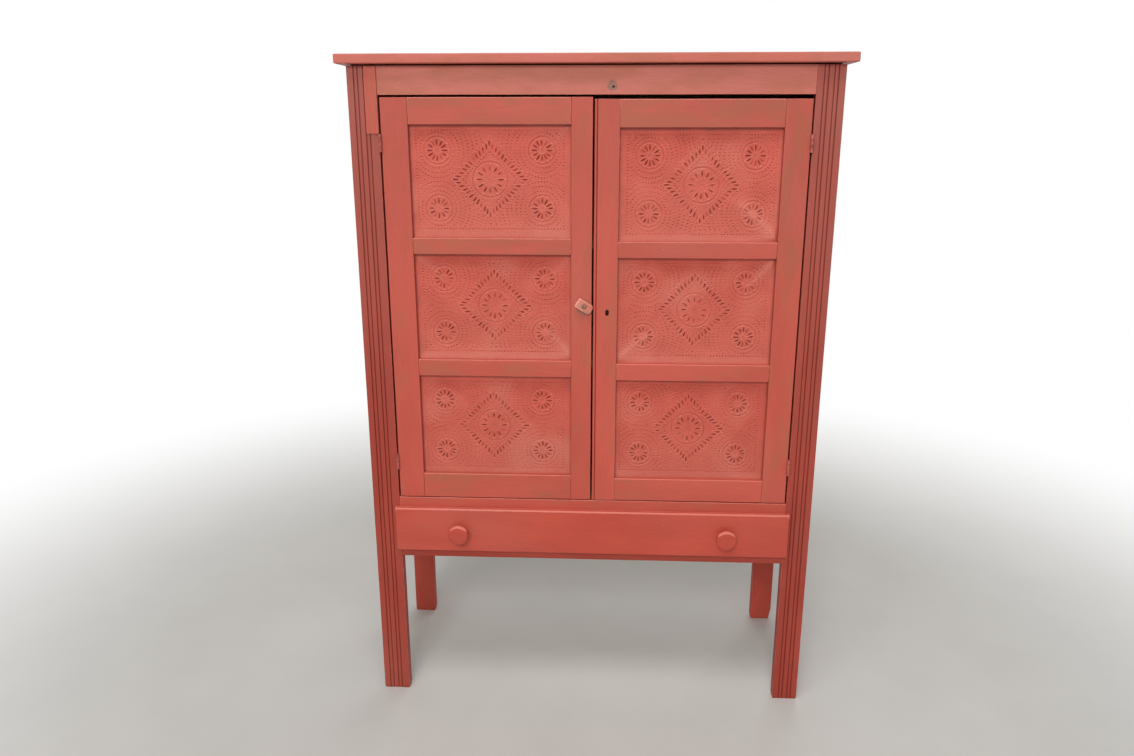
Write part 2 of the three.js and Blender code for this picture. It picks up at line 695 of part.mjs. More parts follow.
function keyholeCut(depth) {
  const settings = { depth: depth + 2 * overrun, bevelEnabled: false, curveSegments: keyhole.steps };
  const geometry = new THREE.ExtrudeGeometry(keyholeShape(), settings).rotateX(Math.PI / 2);
  return geometry.translate(keyholeAt[0], depth + overrun, keyholeAt[1]);
}

const lockX = [meetingX.right + lockCase.fromEdge, meetingX.right + lockCase.fromEdge + lockCase.width];
const lockY = [doorThickness + jointGap, doorThickness + jointGap + lockCase.thickness];
const boltY = [lockY[0] + lockBolt.fromBack, lockY[0] + lockBolt.fromBack + lockBolt.thickness];
const boltX = [lockX[0] + jointGap, lockX[0] + lockBolt.length];
const boltSpans = [boltX, boltY, around(keyholeAt[1], lockBolt.height)];

function lockBody() {
  const [x, y, z] = grown(boltSpans, lockBolt.gap);
  const channel = block([lockX[0] - overrun, x[1]], y, z);
  return worked(block(lockX, lockY, around(keyholeAt[1], lockCase.height)), { cut: [channel] });
}

function buildDoor(name, root) {
  const door = new THREE.Group();
  const { sight } = doorSpans(name);
  const meetingCuts = name === 'left' ? [screwHole()] : [keyholeCut(doorThickness)];
  place(door, `door_${name}_stile_outer`, stile(name, 'outer'), finish.frame());
  place(door, `door_${name}_stile_meeting`, stile(name, 'meeting', meetingCuts), finish.frame());
  for (const [rail, size] of Object.entries(doorRails(name))) {
    place(door, `door_${name}_${rail}`, doorRail(name, size), finish.frame());
  }
  const at = doorLevels(doorFrames[name]);
  const openings = { top: at.sightTop, middle: at.sightMiddle, bottom: at.sightBottom };
  for (const [level, z] of Object.entries(openings)) {
    place(door, `door_${name}_tin_${level}`, doorTin(sight, z), finish.tin());
  }
  placeHinges(name, root, door);
  return door;
}

// Drawer

const lipX = [openingX[0] - lip.left, openingX[1] + lip.right];
const lipZ = [drawerRailZ[1] - lip.end, sillZ[0] + lip.end];
const knobZ = (lipZ[0] + lipZ[1]) / 2;
const frontBack = drawerPlug.depth; // the back face of the drawer front
const boxZ = [drawerRailZ[1] + runGap, sillZ[0] - drawerHeadroom];
const boxY = [frontBack + jointGap, backY - drawerBackGap];
const bottomZ = [boxZ[0] + drawerBottom.rise, boxZ[0] + drawerBottom.rise + drawerBottom.thickness];
const boxInner = drawerSideX - drawerBoard;

/** Cuts the groove that the drawer's bottom stands in, in its front and sides. */
function bottomGroove() {
  const reach = boxInner + drawerBottom.groove + jointGap;
  const depth = [frontBack - drawerBottom.groove - jointGap, boxY[1] + overrun];
  return block([-reach, reach], depth, [bottomZ[0] - jointGap, bottomZ[1] + jointGap]);
}

function drawerFront() {
  const body = plate(rectangle(lipX, lipZ), lip.thickness, lip.chamfer, 1).translate(0, -lip.seatGap, 0);
  const plugX = [openingX[0] + drawerPlug.clearance, openingX[1] - drawerPlug.clearance];
  const plugZ = [drawerRailZ[1] + drawerPlug.clearance, sillZ[0] - drawerPlug.clearance];
  const plug = block(plugX, [-lip.thickness / 2, frontBack], plugZ);
  const cut = [bottomGroove()];
  const boreY = [-lip.thickness - overrun, frontBack + overrun];
  for (const x of Object.values(knobX)) {
    cut.push(pinAlongY(knob.spigotRadius + jointGap, boreY, knob.sides).translate(x, 0, knobZ));
  }
  return worked(body, { add: [plug], cut });
}

function drawerSide(side) {
  const board = block(beside(side, boxInner, drawerSideX), boxY, boxZ);
  return worked(board, { cut: [bottomGroove()] });
}

function drawerBack() {
  const z = [bottomZ[1] + jointGap, boxZ[1]];
  return block([jointGap - boxInner, boxInner - jointGap], [boxY[1] - drawerBoard, boxY[1]], z);
}

function drawerBottomBoard() {
  const reach = boxInner + drawerBottom.groove;
  return block([-reach, reach], [frontBack - drawerBottom.groove, boxY[1]], bottomZ);
}

/** A turned knob with a nearly flat front, its spigot through the drawer front, standing out forwards. */
function turnedKnob() {
  const base = lip.thickness + lip.seatGap;
  const points = [[0, -frontBack], [knob.spigotRadius, -frontBack], [knob.spigotRadius, base + jointGap]];
  points.push([knob.neckRadius, base + jointGap], [knob.neckRadius, base + knob.neckReach]);
  const rim = [knob.radius, base + knob.rimReach];
  const flare = new THREE.QuadraticBezierCurve(
    new THREE.Vector2(knob.neckRadius, base + knob.neckReach),
    new THREE.Vector2(knob.radius, base + knob.neckReach),
    new THREE.Vector2(...rim),
  );
  for (const point of flare.getPoints(knob.steps).slice(1)) points.push([point.x, point.y]);
  const frontRadius = knob.radius - knob.roundness;
  const edge = base + knob.reach - knob.crown - knob.roundness;
  for (let i = 0; i <= knob.steps; i += 1) {
    const turn = Math.PI / 2 * i / knob.steps;
    points.push([frontRadius + knob.roundness * Math.cos(turn), edge + knob.roundness * Math.sin(turn)]);
  }
  points.push([0, base + knob.reach]);
  const geometry = new THREE.LatheGeometry(points.map(([r, y]) => new THREE.Vector2(r, y)), knob.sides);
  return surface(solid(geometry.rotateX(Math.PI)));
}

function buildDrawer() {
  const drawer = new THREE.Group();
  place(drawer, 'drawer_front', drawerFront(), finish.frame());
  for (const [name, side] of Object.entries(sides)) {
    place(drawer, `drawer_side_${name}`, drawerSide(side), finish.bare());
    place(drawer, `drawer_knob_${name}`, turnedKnob(), finish.frame()).position.set(knobX[name], 0, knobZ);
  }
  place(drawer, 'drawer_back', drawerBack(), finish.bare());
  place(drawer, 'drawer_bottom', drawerBottomBoard(), finish.bare());
  return drawer;
}

// Case

function buildCase() {
  const root = new THREE.Group();
  for (const name of Object.keys(sides)) {
    place(root, `post_front_${name}`, frontPost(name), finish.frame());
    place(root, `post_back_${name}`, backPost(name), finish.frame());
    for (const level of Object.keys(sideRails)) {
      place(root, `side_${name}_rail_${level}`, sideRail(name, level), finish.frame());
    }
    place(root, `side_${name}_tins`, sideTins(name), finish.tin());
  }
  const patchX = [openingX[0] - patch.setIn - patch.width, openingX[0] - patch.setIn];
  const patchY = [-jointGap - patch.thickness, -jointGap];
  const patchZ = [headerZ[1] - patch.length, headerZ[1]];
  place(root, 'post_repair_strip', block(patchX, patchY, patchZ), finish.frame());
  place(root, 'rail_header', header(), finish.frame());
  place(root, 'rail_sill', frontRail(sillZ), finish.frame());
  place(root, 'rail_drawer', frontRail(drawerRailZ), finish.frame());
  place(root, 'top_board', topBoard(), finish.frame());
  place(root, 'back_boards', backBoards(), finish.bare());
  place(root, 'case_floor', caseFloor(), finish.bare());
  for (const [level, z] of Object.entries(shelves)) place(root, `shelf_${level}`, shelf(z), finish.bare());
  return root;
}

const group = new THREE.Group();
const root = buildCase();
const doorLeft = buildDoor('left', root);
const doorRight = buildDoor('right', root);
const screw = place(doorLeft, 'turn_button_screw', turnScrew(), finish.screw());
screw.position.set(buttonPivot[0], 0, buttonPivot[1]);
const turn = place(doorLeft, 'turn_button', turnButton(), finish.frame());
turn.position.set(buttonPivot[0], -button.seatGap, buttonPivot[1]);
turn.rotation.y = -buttonTilt;
place(doorRight, 'lock_case', lockBody(), finish.lock());
place(doorRight, 'lock_bolt', block(...boltSpans), finish.lock());
group.add(root, doorLeft, doorRight, buildDrawer());

// The origin lies on the floor, under the middle of everything from the knobs to the back
const frontReach = lip.seatGap + lip.thickness + knob.reach;
group.position.y = (frontReach - caseDepth) / 2;

export default group;
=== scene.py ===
"""A red painted pie safe, finished round its fixed frame.

Lengths are in metres, with +Z up and the doors towards -Y. Sizes that a board shares with the frame are read
from the frame, and those that only the finish has are kept beside the piece that has them.
"""

import json
import logging
import math
from contextlib import contextmanager
from dataclasses import dataclass, field
from enum import Enum
from functools import cache, cached_property, partial
from typing import Any, Callable, Iterable, Iterator, Sequence

import bmesh
import bpy
import numpy as np
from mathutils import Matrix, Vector, noise


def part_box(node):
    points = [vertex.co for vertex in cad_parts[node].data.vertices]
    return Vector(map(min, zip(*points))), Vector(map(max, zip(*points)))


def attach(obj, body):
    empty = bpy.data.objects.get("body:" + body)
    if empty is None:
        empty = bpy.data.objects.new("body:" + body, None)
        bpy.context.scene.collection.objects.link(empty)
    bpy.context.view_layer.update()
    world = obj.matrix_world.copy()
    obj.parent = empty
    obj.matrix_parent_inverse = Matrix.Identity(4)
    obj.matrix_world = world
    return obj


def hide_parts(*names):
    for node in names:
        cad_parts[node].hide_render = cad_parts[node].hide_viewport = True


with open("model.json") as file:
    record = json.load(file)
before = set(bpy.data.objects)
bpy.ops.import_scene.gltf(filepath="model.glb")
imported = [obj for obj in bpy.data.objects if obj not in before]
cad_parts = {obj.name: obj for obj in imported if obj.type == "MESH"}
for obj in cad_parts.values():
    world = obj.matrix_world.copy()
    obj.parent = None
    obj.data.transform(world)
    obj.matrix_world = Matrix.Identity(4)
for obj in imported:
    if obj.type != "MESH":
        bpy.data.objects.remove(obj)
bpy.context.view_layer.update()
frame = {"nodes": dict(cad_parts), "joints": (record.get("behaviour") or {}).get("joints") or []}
LOG = logging.getLogger("pie_safe")
MM = 0.001
FIT = 0.3 * MM  # daylight between two pieces that are joined
FOOT_WEAR = 2.2  # how much more worn a foot's lower edge is than the rest of its post
SHEEN_HEIGHTS = (0.55, 1.5)  # painted sheen: the paint is drawn paler towards the top, between these heights
TENON = 40 * MM  # more than any board is let into another
NO_SCAR = [99.0, 99.0, MM]  # a scar so far off that it never shows
NEVER_NEAR = 99.0  # farther than any point lies from what is looked for
WHITE = (1, 1, 1, 1)
NOISE_SPAN = {"From Min": 0.3, "From Max": 0.7}  # between which nearly all of a noise lies
EASED = {"interpolation_type": "SMOOTHSTEP"}  # for a Map Range that eases in and out

Piece = bpy.types.Object
Node = bpy.types.Node
Array = np.ndarray
Pair = tuple[float, float]
Point = tuple[float, float, float]
Test = Callable[[Any], bool]
Add = Callable[..., Node]


# Spans and boxes


@dataclass(frozen=True)
class Box:
    """An upright box between its lowest and its highest corner."""

    low: Vector
    high: Vector

    @classmethod
    def of(cls, *nodes: str) -> "Box":
        """The box round some nodes of the frame.

        Args:
            nodes: The nodes' names.

        Returns:
            The smallest box that holds them all.
        """
        corners = [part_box(node) for node in nodes]
        low = Vector(min(c[0][i] for c in corners) for i in range(3))
        high = Vector(max(c[1][i] for c in corners) for i in range(3))
        return cls(low, high)

    @property
    def size(self) -> Vector:
        """Its length along each axis."""
        return self.high - self.low

    @property
    def middle(self) -> Vector:
        """Its centre."""
        return (self.low + self.high) / 2

    def span(self, axis: int, low: float | None = None, high: float | None = None) -> "Box":
        """The same box with other ends along one axis.

        Args:
            axis: 0, 1 or 2 for X, Y or Z.
            low: The new lower end, or None to keep it.
            high: The new upper end, or None to keep it.

        Returns:
            The changed box.
        """
        lowest, highest = self.low.copy(), self.high.copy()
        lowest[axis] = lowest[axis] if low is None else low
        highest[axis] = highest[axis] if high is None else high
        return Box(lowest, highest)


class Grain(Enum):
    """How a board lies: the axes along its grain, across it and through its thickness."""

    UPRIGHT = (2, 0, 1)
    LEVEL = (0, 2, 1)
    ALONG_SIDE = (1, 2, 0)
    FLAT = (0, 1, 2)


class Pick(Enum):
    """What a selection is made of."""

    CORNERS = "VERT"
    EDGES = "EDGE"
    FACES = "FACE"


class Side(Enum):
    """A side of the safe as seen from the front, with its way along X."""

    LEFT = -1
    RIGHT = 1

    def __str__(self) -> str:
        """Its word in the pieces' names."""
        return self.name.lower()


# Modelling


def focus(*pieces: Piece) -> None:
    """Selects only these pieces, with the last one active.

    Args:
        pieces: The pieces to select.
    """
    bpy.ops.object.select_all(action="DESELECT")
    for piece in pieces:
        piece.select_set(True)
    bpy.context.view_layer.objects.active = pieces[-1]


@contextmanager
def editing(piece: Piece) -> Iterator[None]:
    """Opens a piece in edit mode with nothing selected, and closes it again.

    Args:
        piece: The piece to open.

    Yields:
        Nothing; the piece is open meanwhile.
    """
    focus(piece)
    bpy.ops.object.mode_set(mode="EDIT")
    bpy.ops.mesh.select_mode(type=Pick.FACES.value)
    bpy.ops.mesh.select_all(action="DESELECT")
    yield
    bpy.ops.object.mode_set(mode="OBJECT")


def pick(piece: Piece, kind: Pick, test: Test) -> int:
    """Selects the corners, edges or faces of an open piece that pass a test.

    Args:
        piece: The piece, open in edit mode.
        kind: What is selected.
        test: Says of a corner, edge or face whether it is selected.

    Returns:
        How many were selected.
    """
    bpy.ops.mesh.select_mode(type=kind.value)
    bpy.ops.mesh.select_all(action="DESELECT")
    shape = bmesh.from_edit_mesh(piece.data)
    shape.normal_update()
    found = {Pick.CORNERS: shape.verts, Pick.EDGES: shape.edges, Pick.FACES: shape.faces}[kind]
    chosen = [element for element in found if test(element)]
    for element in chosen:
        element.select_set(True)
    shape.select_flush_mode()
    bmesh.update_edit_mesh(piece.data)
    return len(chosen)


def settle(piece: Piece, name: str) -> Piece:
    """Puts a piece's place and turn into its mesh and names it.

    Args:
        piece: The piece.
        name: Its name.

    Returns:
        The piece, with its object at the origin.
    """
    focus(piece)
    bpy.ops.object.transform_apply(location=True, rotation=True, scale=True)
    piece.name = piece.data.name = name
    return piece


def block(name: str, box: Box) -> Piece:
    """The squared stock that a piece is worked from.

    Args:
        name: The piece's name.
        box: Its place and size.

    Returns:
        The new piece.
    """
    bpy.ops.mesh.primitive_cube_add(size=1, location=box.middle, scale=box.size)
    return settle(bpy.context.active_object, name)


def cut_rings(piece: Piece, axis: int, places: Iterable[float]) -> None:
    """Scores a ring of edges round a piece at each place along an axis.

    Args:
        piece: The piece.
        axis: 0, 1 or 2 for X, Y or Z.
        places: Where the rings go.
    """
    normal = Vector((0, 0, 0))
    normal[axis] = 1
    with editing(piece):
        for place in places:
            bpy.ops.mesh.select_all(action="SELECT")
            bpy.ops.mesh.bisect(plane_co=normal * place, plane_no=normal)


def pull(piece: Piece, test: Test, by: Vector) -> None:
    """Extrudes the faces of a piece that pass a test.

    Args:
        piece: The piece.
        test: Says which faces are drawn out.
        by: How far and which way.
    """
    with editing(piece):
        pick(piece, Pick.FACES, test)
        bpy.ops.mesh.extrude_region_move(TRANSFORM_OT_translate={"value": tuple(by)})


def shift(piece: Piece, test: Test, by: Vector) -> None:
    """Moves the corners of a piece that pass a test.

    Args:
        piece: The piece.
        test: Says which corners move.
        by: How far and which way.
    """
    with editing(piece):
        if pick(piece, Pick.CORNERS, test):
            bpy.ops.transform.translate(value=tuple(by))


def face_outwards() -> None:
    """Turns every face of the open piece outwards."""
    bpy.ops.mesh.select_all(action="SELECT")
    bpy.ops.mesh.normals_make_consistent(inside=False)


def modify(piece: Piece, kind: str, **settings: Any) -> None:
    """Adds one modifier to a piece, sets it and applies it.

    Args:
        piece: The piece.
        kind: The modifier's type.
        settings: Its settings by name.
    """
    focus(piece)
    bpy.ops.object.modifier_add(type=kind)
    modifier = piece.modifiers[-1]
    for name, value in settings.items():
        setattr(modifier, name, value)
    bpy.ops.object.modifier_apply(modifier=modifier.name)


def pivot(body: str) -> Vector:
    """Where a body's joint is."""
    return Vector(next(joint["pos_m"] for joint in frame["joints"] if joint["child"] == body))


def drop(piece: Piece) -> None:
    """Removes a tool such as a cutter after its use."""
    bpy.data.objects.remove(piece, do_unlink=True)


def carve(piece: Piece, *cutters: Piece) -> None:
    """Cuts other shapes out of a piece.

    Args:
        piece: The piece.
        cutters: The shapes, which are used up.
    """
    for cutter in cutters:
        modify(piece, "BOOLEAN", operation="DIFFERENCE", solver="EXACT", object=cutter)
        drop(cutter)


def join(name: str, *pieces: Piece) -> Piece:
    """Makes one piece of several.

    Args:
        name: The joined piece's name.
        pieces: The pieces, the last of which stays.

    Returns:
        The joined piece.
    """
    focus(*pieces)
    bpy.ops.object.join()
    pieces[-1].name = pieces[-1].data.name = name
    return pieces[-1]


def soften(piece: Piece, width: float, segments: int = 2, angle: float = 35) -> None:
    """Rounds the arrises of a piece and shades it so that its faces stay flat.

    Args:
        piece: The piece.
        width: How wide the rounding is.
        segments: How many faces make it up.
        angle: The least turn, in degrees, of an edge that is rounded.
    """
    turn = math.radians(angle)
    modify(piece, "BEVEL", width=width, segments=segments, limit_method="ANGLE", angle_limit=turn)
    focus(piece)
    bpy.ops.object.shade_smooth_by_angle(angle=math.radians(60))
    modify(piece, "WEIGHTED_NORMAL", keep_sharp=True)


def drum(name: str, radius: float, start: Vector, end: Vector, sides: int = 32) -> Piece:
    """A round bar between two points.

    Args:
        name: Its name.
        radius: Its radius.
        start: The middle of one end.
        end: The middle of the other end.
        sides: How many faces go round it.

    Returns:
        The bar.
    """
    way = end - start
    turn = way.to_track_quat("Z", "Y").to_euler()
    bpy.ops.mesh.primitive_cylinder_add(
        vertices=sides, radius=radius, depth=way.length, location=(start + end) / 2, rotation=turn,
    )
    return settle(bpy.context.active_object, name)


def turned(name: str, profile: Sequence[Pair], start: Vector, sides: int) -> Piece:
    """A piece turned on a lathe, whose axis runs towards the front.

    Args:
        name: Its name.
        profile: The radius and the reach from the start of each ring, from the back to the front.
        start: The middle of its back end.
        sides: How many faces go round it.

    Returns:
        The turned piece.
    """
    radius, reach = profile[0]
    bpy.ops.mesh.primitive_circle_add(
        vertices=sides, radius=radius, fill_type="NGON", location=start - Vector((0, reach, 0)),
        rotation=(math.pi / 2, 0, 0),
    )
    piece = settle(bpy.context.active_object, name)
    with editing(piece):
        bpy.ops.mesh.select_all(action="SELECT")
        for (before, from_reach), (after, to_reach) in zip(profile, profile[1:]):
            step = {"value": (0, from_reach - to_reach, 0)}
            bpy.ops.mesh.extrude_region_move(TRANSFORM_OT_translate=step)
            ratio = after / before
            centre = start - Vector((0, to_reach, 0))
            bpy.ops.transform.resize(value=(ratio, 1, ratio), center_override=centre)
        face_outwards()
    focus(piece)
    bpy.ops.object.shade_smooth_by_angle(angle=math.radians(50))
    return piece


def half_round(middle: float, half: float, depth: float, steps: int) -> list[Pair]:
    """The lines of a round moulding.

    Args:
        middle: Its middle.
        half: Half its width.
        depth: How far below the face its edges lie.
        steps: How many faces make it up.

    Returns:
        The place and the depth of each line.
    """
    turns = [math.pi * (1 - i / steps) for i in range(steps + 1)]
    return [(middle + half * math.cos(turn), depth * (1 - math.sin(turn))) for turn in turns]


def scratch(piece: Piece, box: Box, lines: Sequence[Pair]) -> None:
    """Scratches a moulding down the face of an upright board.

    Args:
        piece: The board.
        box: Its box.
        lines: The place and the depth of each line.
    """
    hair = 0.01 * MM
    cut_rings(piece, 0, [x for x, _ in lines if x - box.low.x > hair])
    for x, depth in lines:
        if depth > hair:
            inwards = Vector((0, depth, 0))
            shift(piece, lambda v: abs(v.co.x - x) < 2 * hair and v.co.y < box.low.y + MM, inwards)


def duplicate(piece: Piece, name: str) -> Piece:
    """A copy of a piece, with its own mesh and no finish.

    Args:
        piece: The piece.
        name: The copy's name.

    Returns:
        The copy.
    """
    copy = piece.copy()
    copy.data = piece.data.copy()
    copy.data.materials.clear()
    copy.parent = None
    for key in list(copy.keys()):
        del copy[key]
    bpy.context.scene.collection.objects.link(copy)
    copy.name = copy.data.name = name
    return copy


def eased_copy(name: str, node: str, width: float) -> Piece:
    """A copy of a node of the frame with its arrises eased, for joinery that only shows from inside.

    Args:
        name: The copy's name.
        node: The node.
        width: How wide the eased arris is.

    Returns:
        The new piece.
    """
    piece = duplicate(frame["nodes"][node], name)
    with editing(piece):
        bpy.ops.mesh.select_all(action="SELECT")
        bpy.ops.mesh.remove_doubles(threshold=0.01 * MM)
        bpy.ops.mesh.dissolve_limited(angle_limit=math.radians(1))
    soften(piece, width, segments=1)
    return piece


def positions(piece: Piece) -> Array:
    """The places of a piece's corners, one row each."""
    places = np.empty(len(piece.data.vertices) * 3, np.float32)
    piece.data.vertices.foreach_get("co", places)
    return places.reshape(-1, 3).astype(float)


def move_to(piece: Piece, places: Array) -> None:
    """Gives a piece's corners new places.

    Args:
        piece: The piece.
        places: One row for each corner.
    """
    piece.data.vertices.foreach_set("co", places.astype(np.float32).ravel())
    piece.data.update()


def note(piece: Piece, **noted: Array) -> None:
    """Keeps values and vectors for each corner of a piece, for its finish to read.

    Args:
        piece: The piece.
        noted: For each name, one number or one row of three for each corner.
    """
    for name, values in noted.items():
        kind, key = ("FLOAT", "value") if values.ndim == 1 else ("FLOAT_VECTOR", "vector")
        attribute = piece.data.attributes.new(name, kind, "POINT")
        attribute.data.foreach_set(key, values.astype(np.float32).ravel())


def smooth(values: Array, low: float, high: float) -> Array:
    """Eases values from 0 at one end to 1 at the other.

    Args:
        values: The values.
        low: Where the result is 0.
        high: Where it is 1.

    Returns:
        The eased values.
    """
    share = np.clip((values - low) / (high - low), 0, 1)
    return share * share * (3 - 2 * share)


def waves(across: Array, up: Array, size: float, seed: float) -> Array:
    """Smooth unevenness over a sheet or board, from -1 to 1.

    Args:
        across: The points' first coordinate.
        up: Their second coordinate.
        size: The length of a wave.
        seed: Picks the pattern.

    Returns:
        The height at each point.
    """
    total = np.zeros_like(across)
    parts = ((1.0, 0.0, 1.0), (1.31, 1.1, 0.8), (1.9, 2.3, 0.55), (2.7, 4.0, 0.35))
    for pace, turn, share in parts:
        along = across * math.cos(turn + seed) + up * math.sin(turn + seed)
        aside = up * math.cos(turn + seed) - across * math.sin(turn + seed)
        total += share * np.sin(math.tau * pace * along / size + 3.1 * seed + turn) * np.cos(
            math.tau * 0.7 * pace * aside / size + 1.7 * seed
        )
    return total / sum(share for _, _, share in parts)


# Finishes


def shade(colour: str) -> tuple[float, float, float, float]:
    """A colour written as on screen, turned to linear light.

    Args:
        colour: Its sRGB value, such as #C05A4A.

    Returns:
        Red, green, blue and a full alpha.
    """
    parts = [int(colour[i:i + 2], 16) / 255 for i in (1, 3, 5)]
    linear = [c / 12.92 if c <= 0.04045 else ((c + 0.055) / 1.055) ** 2.4 for c in parts]
    return (*linear, 1.0)


def add_node(
    tree: bpy.types.NodeTree, kind: str, inputs: dict[Any, Any] | None = None, **settings: Any
) -> Node:
    """Adds one node with its settings and links.

    Args:
        tree: The node tree.
        kind: The node's type, without the ShaderNode that all begin with.
        inputs: For each input, by name or number, a value, a socket, a node whose first output is linked, or
            the name of a value or vector that was noted on the piece.
        settings: The node's own settings.

    Returns:
        The node.
    """
    node = tree.nodes.new("ShaderNode" + kind)
    for name, value in settings.items():
        setattr(node, name, value)
    for key, value in (inputs or {}).items():
        socket = node.inputs[key]
        if isinstance(value, str):
            noted = add_node(tree, "Attribute", attribute_name=value)
            value = noted.outputs["Fac" if socket.type == "VALUE" else "Vector"]
        if isinstance(value, Node):
            value = next(output for output in value.outputs if output.enabled)
        if isinstance(value, bpy.types.NodeSocket):
            tree.links.new(value, socket)
        else:
            socket.default_value = value
    return node


def new_material(name: str) -> tuple[bpy.types.Material, Add]:
    """A new material with an empty tree.

    Args:
        name: The material's name.

    Returns:
        The material, and add_node for its tree.
    """
    material = bpy.data.materials.new(name)
    material.use_nodes = True
    material.node_tree.nodes.clear()
    return material, partial(add_node, material.node_tree)


@dataclass(frozen=True)
class BoardCoordinates:
    """What every board's finish reads: where a point lies on its board, in millimetres."""

    add: Add

    @cached_property
    def place(self) -> Node:
        """The point along, across and through the board, moved by the board's own seed."""
        moved = self.add("VectorMath", {0: "board", 1: "seed"}, operation="ADD")
        return self.add("VectorMath", {0: moved, "Scale": 1 / MM}, operation="SCALE")

    @cached_property
    def arris(self) -> Node:
        """How far the point lies from the nearest arris, in millimetres."""
        size = self.add("VectorMath", {0: "board"}, operation="ABSOLUTE")
        inside = self.add("VectorMath", {0: "half", 1: size}, operation="SUBTRACT")
        x, y, z = self.add("SeparateXYZ", {0: inside}).outputs
        low = self.add("Math", {0: x, 1: y}, operation="MINIMUM")
        high = self.add("Math", {0: x, 1: y}, operation="MAXIMUM")
        inner = self.add("Math", {0: high, 1: z}, operation="MINIMUM")
        second = self.add("Math", {0: low, 1: inner}, operation="MAXIMUM")
        return self.add("Math", {0: second, 1: 1 / MM}, operation="MULTIPLY")

    @cached_property
    def from_scar(self) -> Node:
        """How far the point lies from the board's scar, as a share of the scar's radius."""
        radius = self.add("SeparateXYZ", {0: "scar"}).outputs["Z"]
        off = self.add("VectorMath", {0: "board", 1: "scar"}, operation="SUBTRACT")
        flat = self.add("VectorMath", {0: off, 1: (1, 1, 0)}, operation="MULTIPLY")
        far = self.add("VectorMath", {0: flat}, operation="LENGTH").outputs["Value"]
        return self.add("Math", {0: far, 1: radius}, operation="DIVIDE")


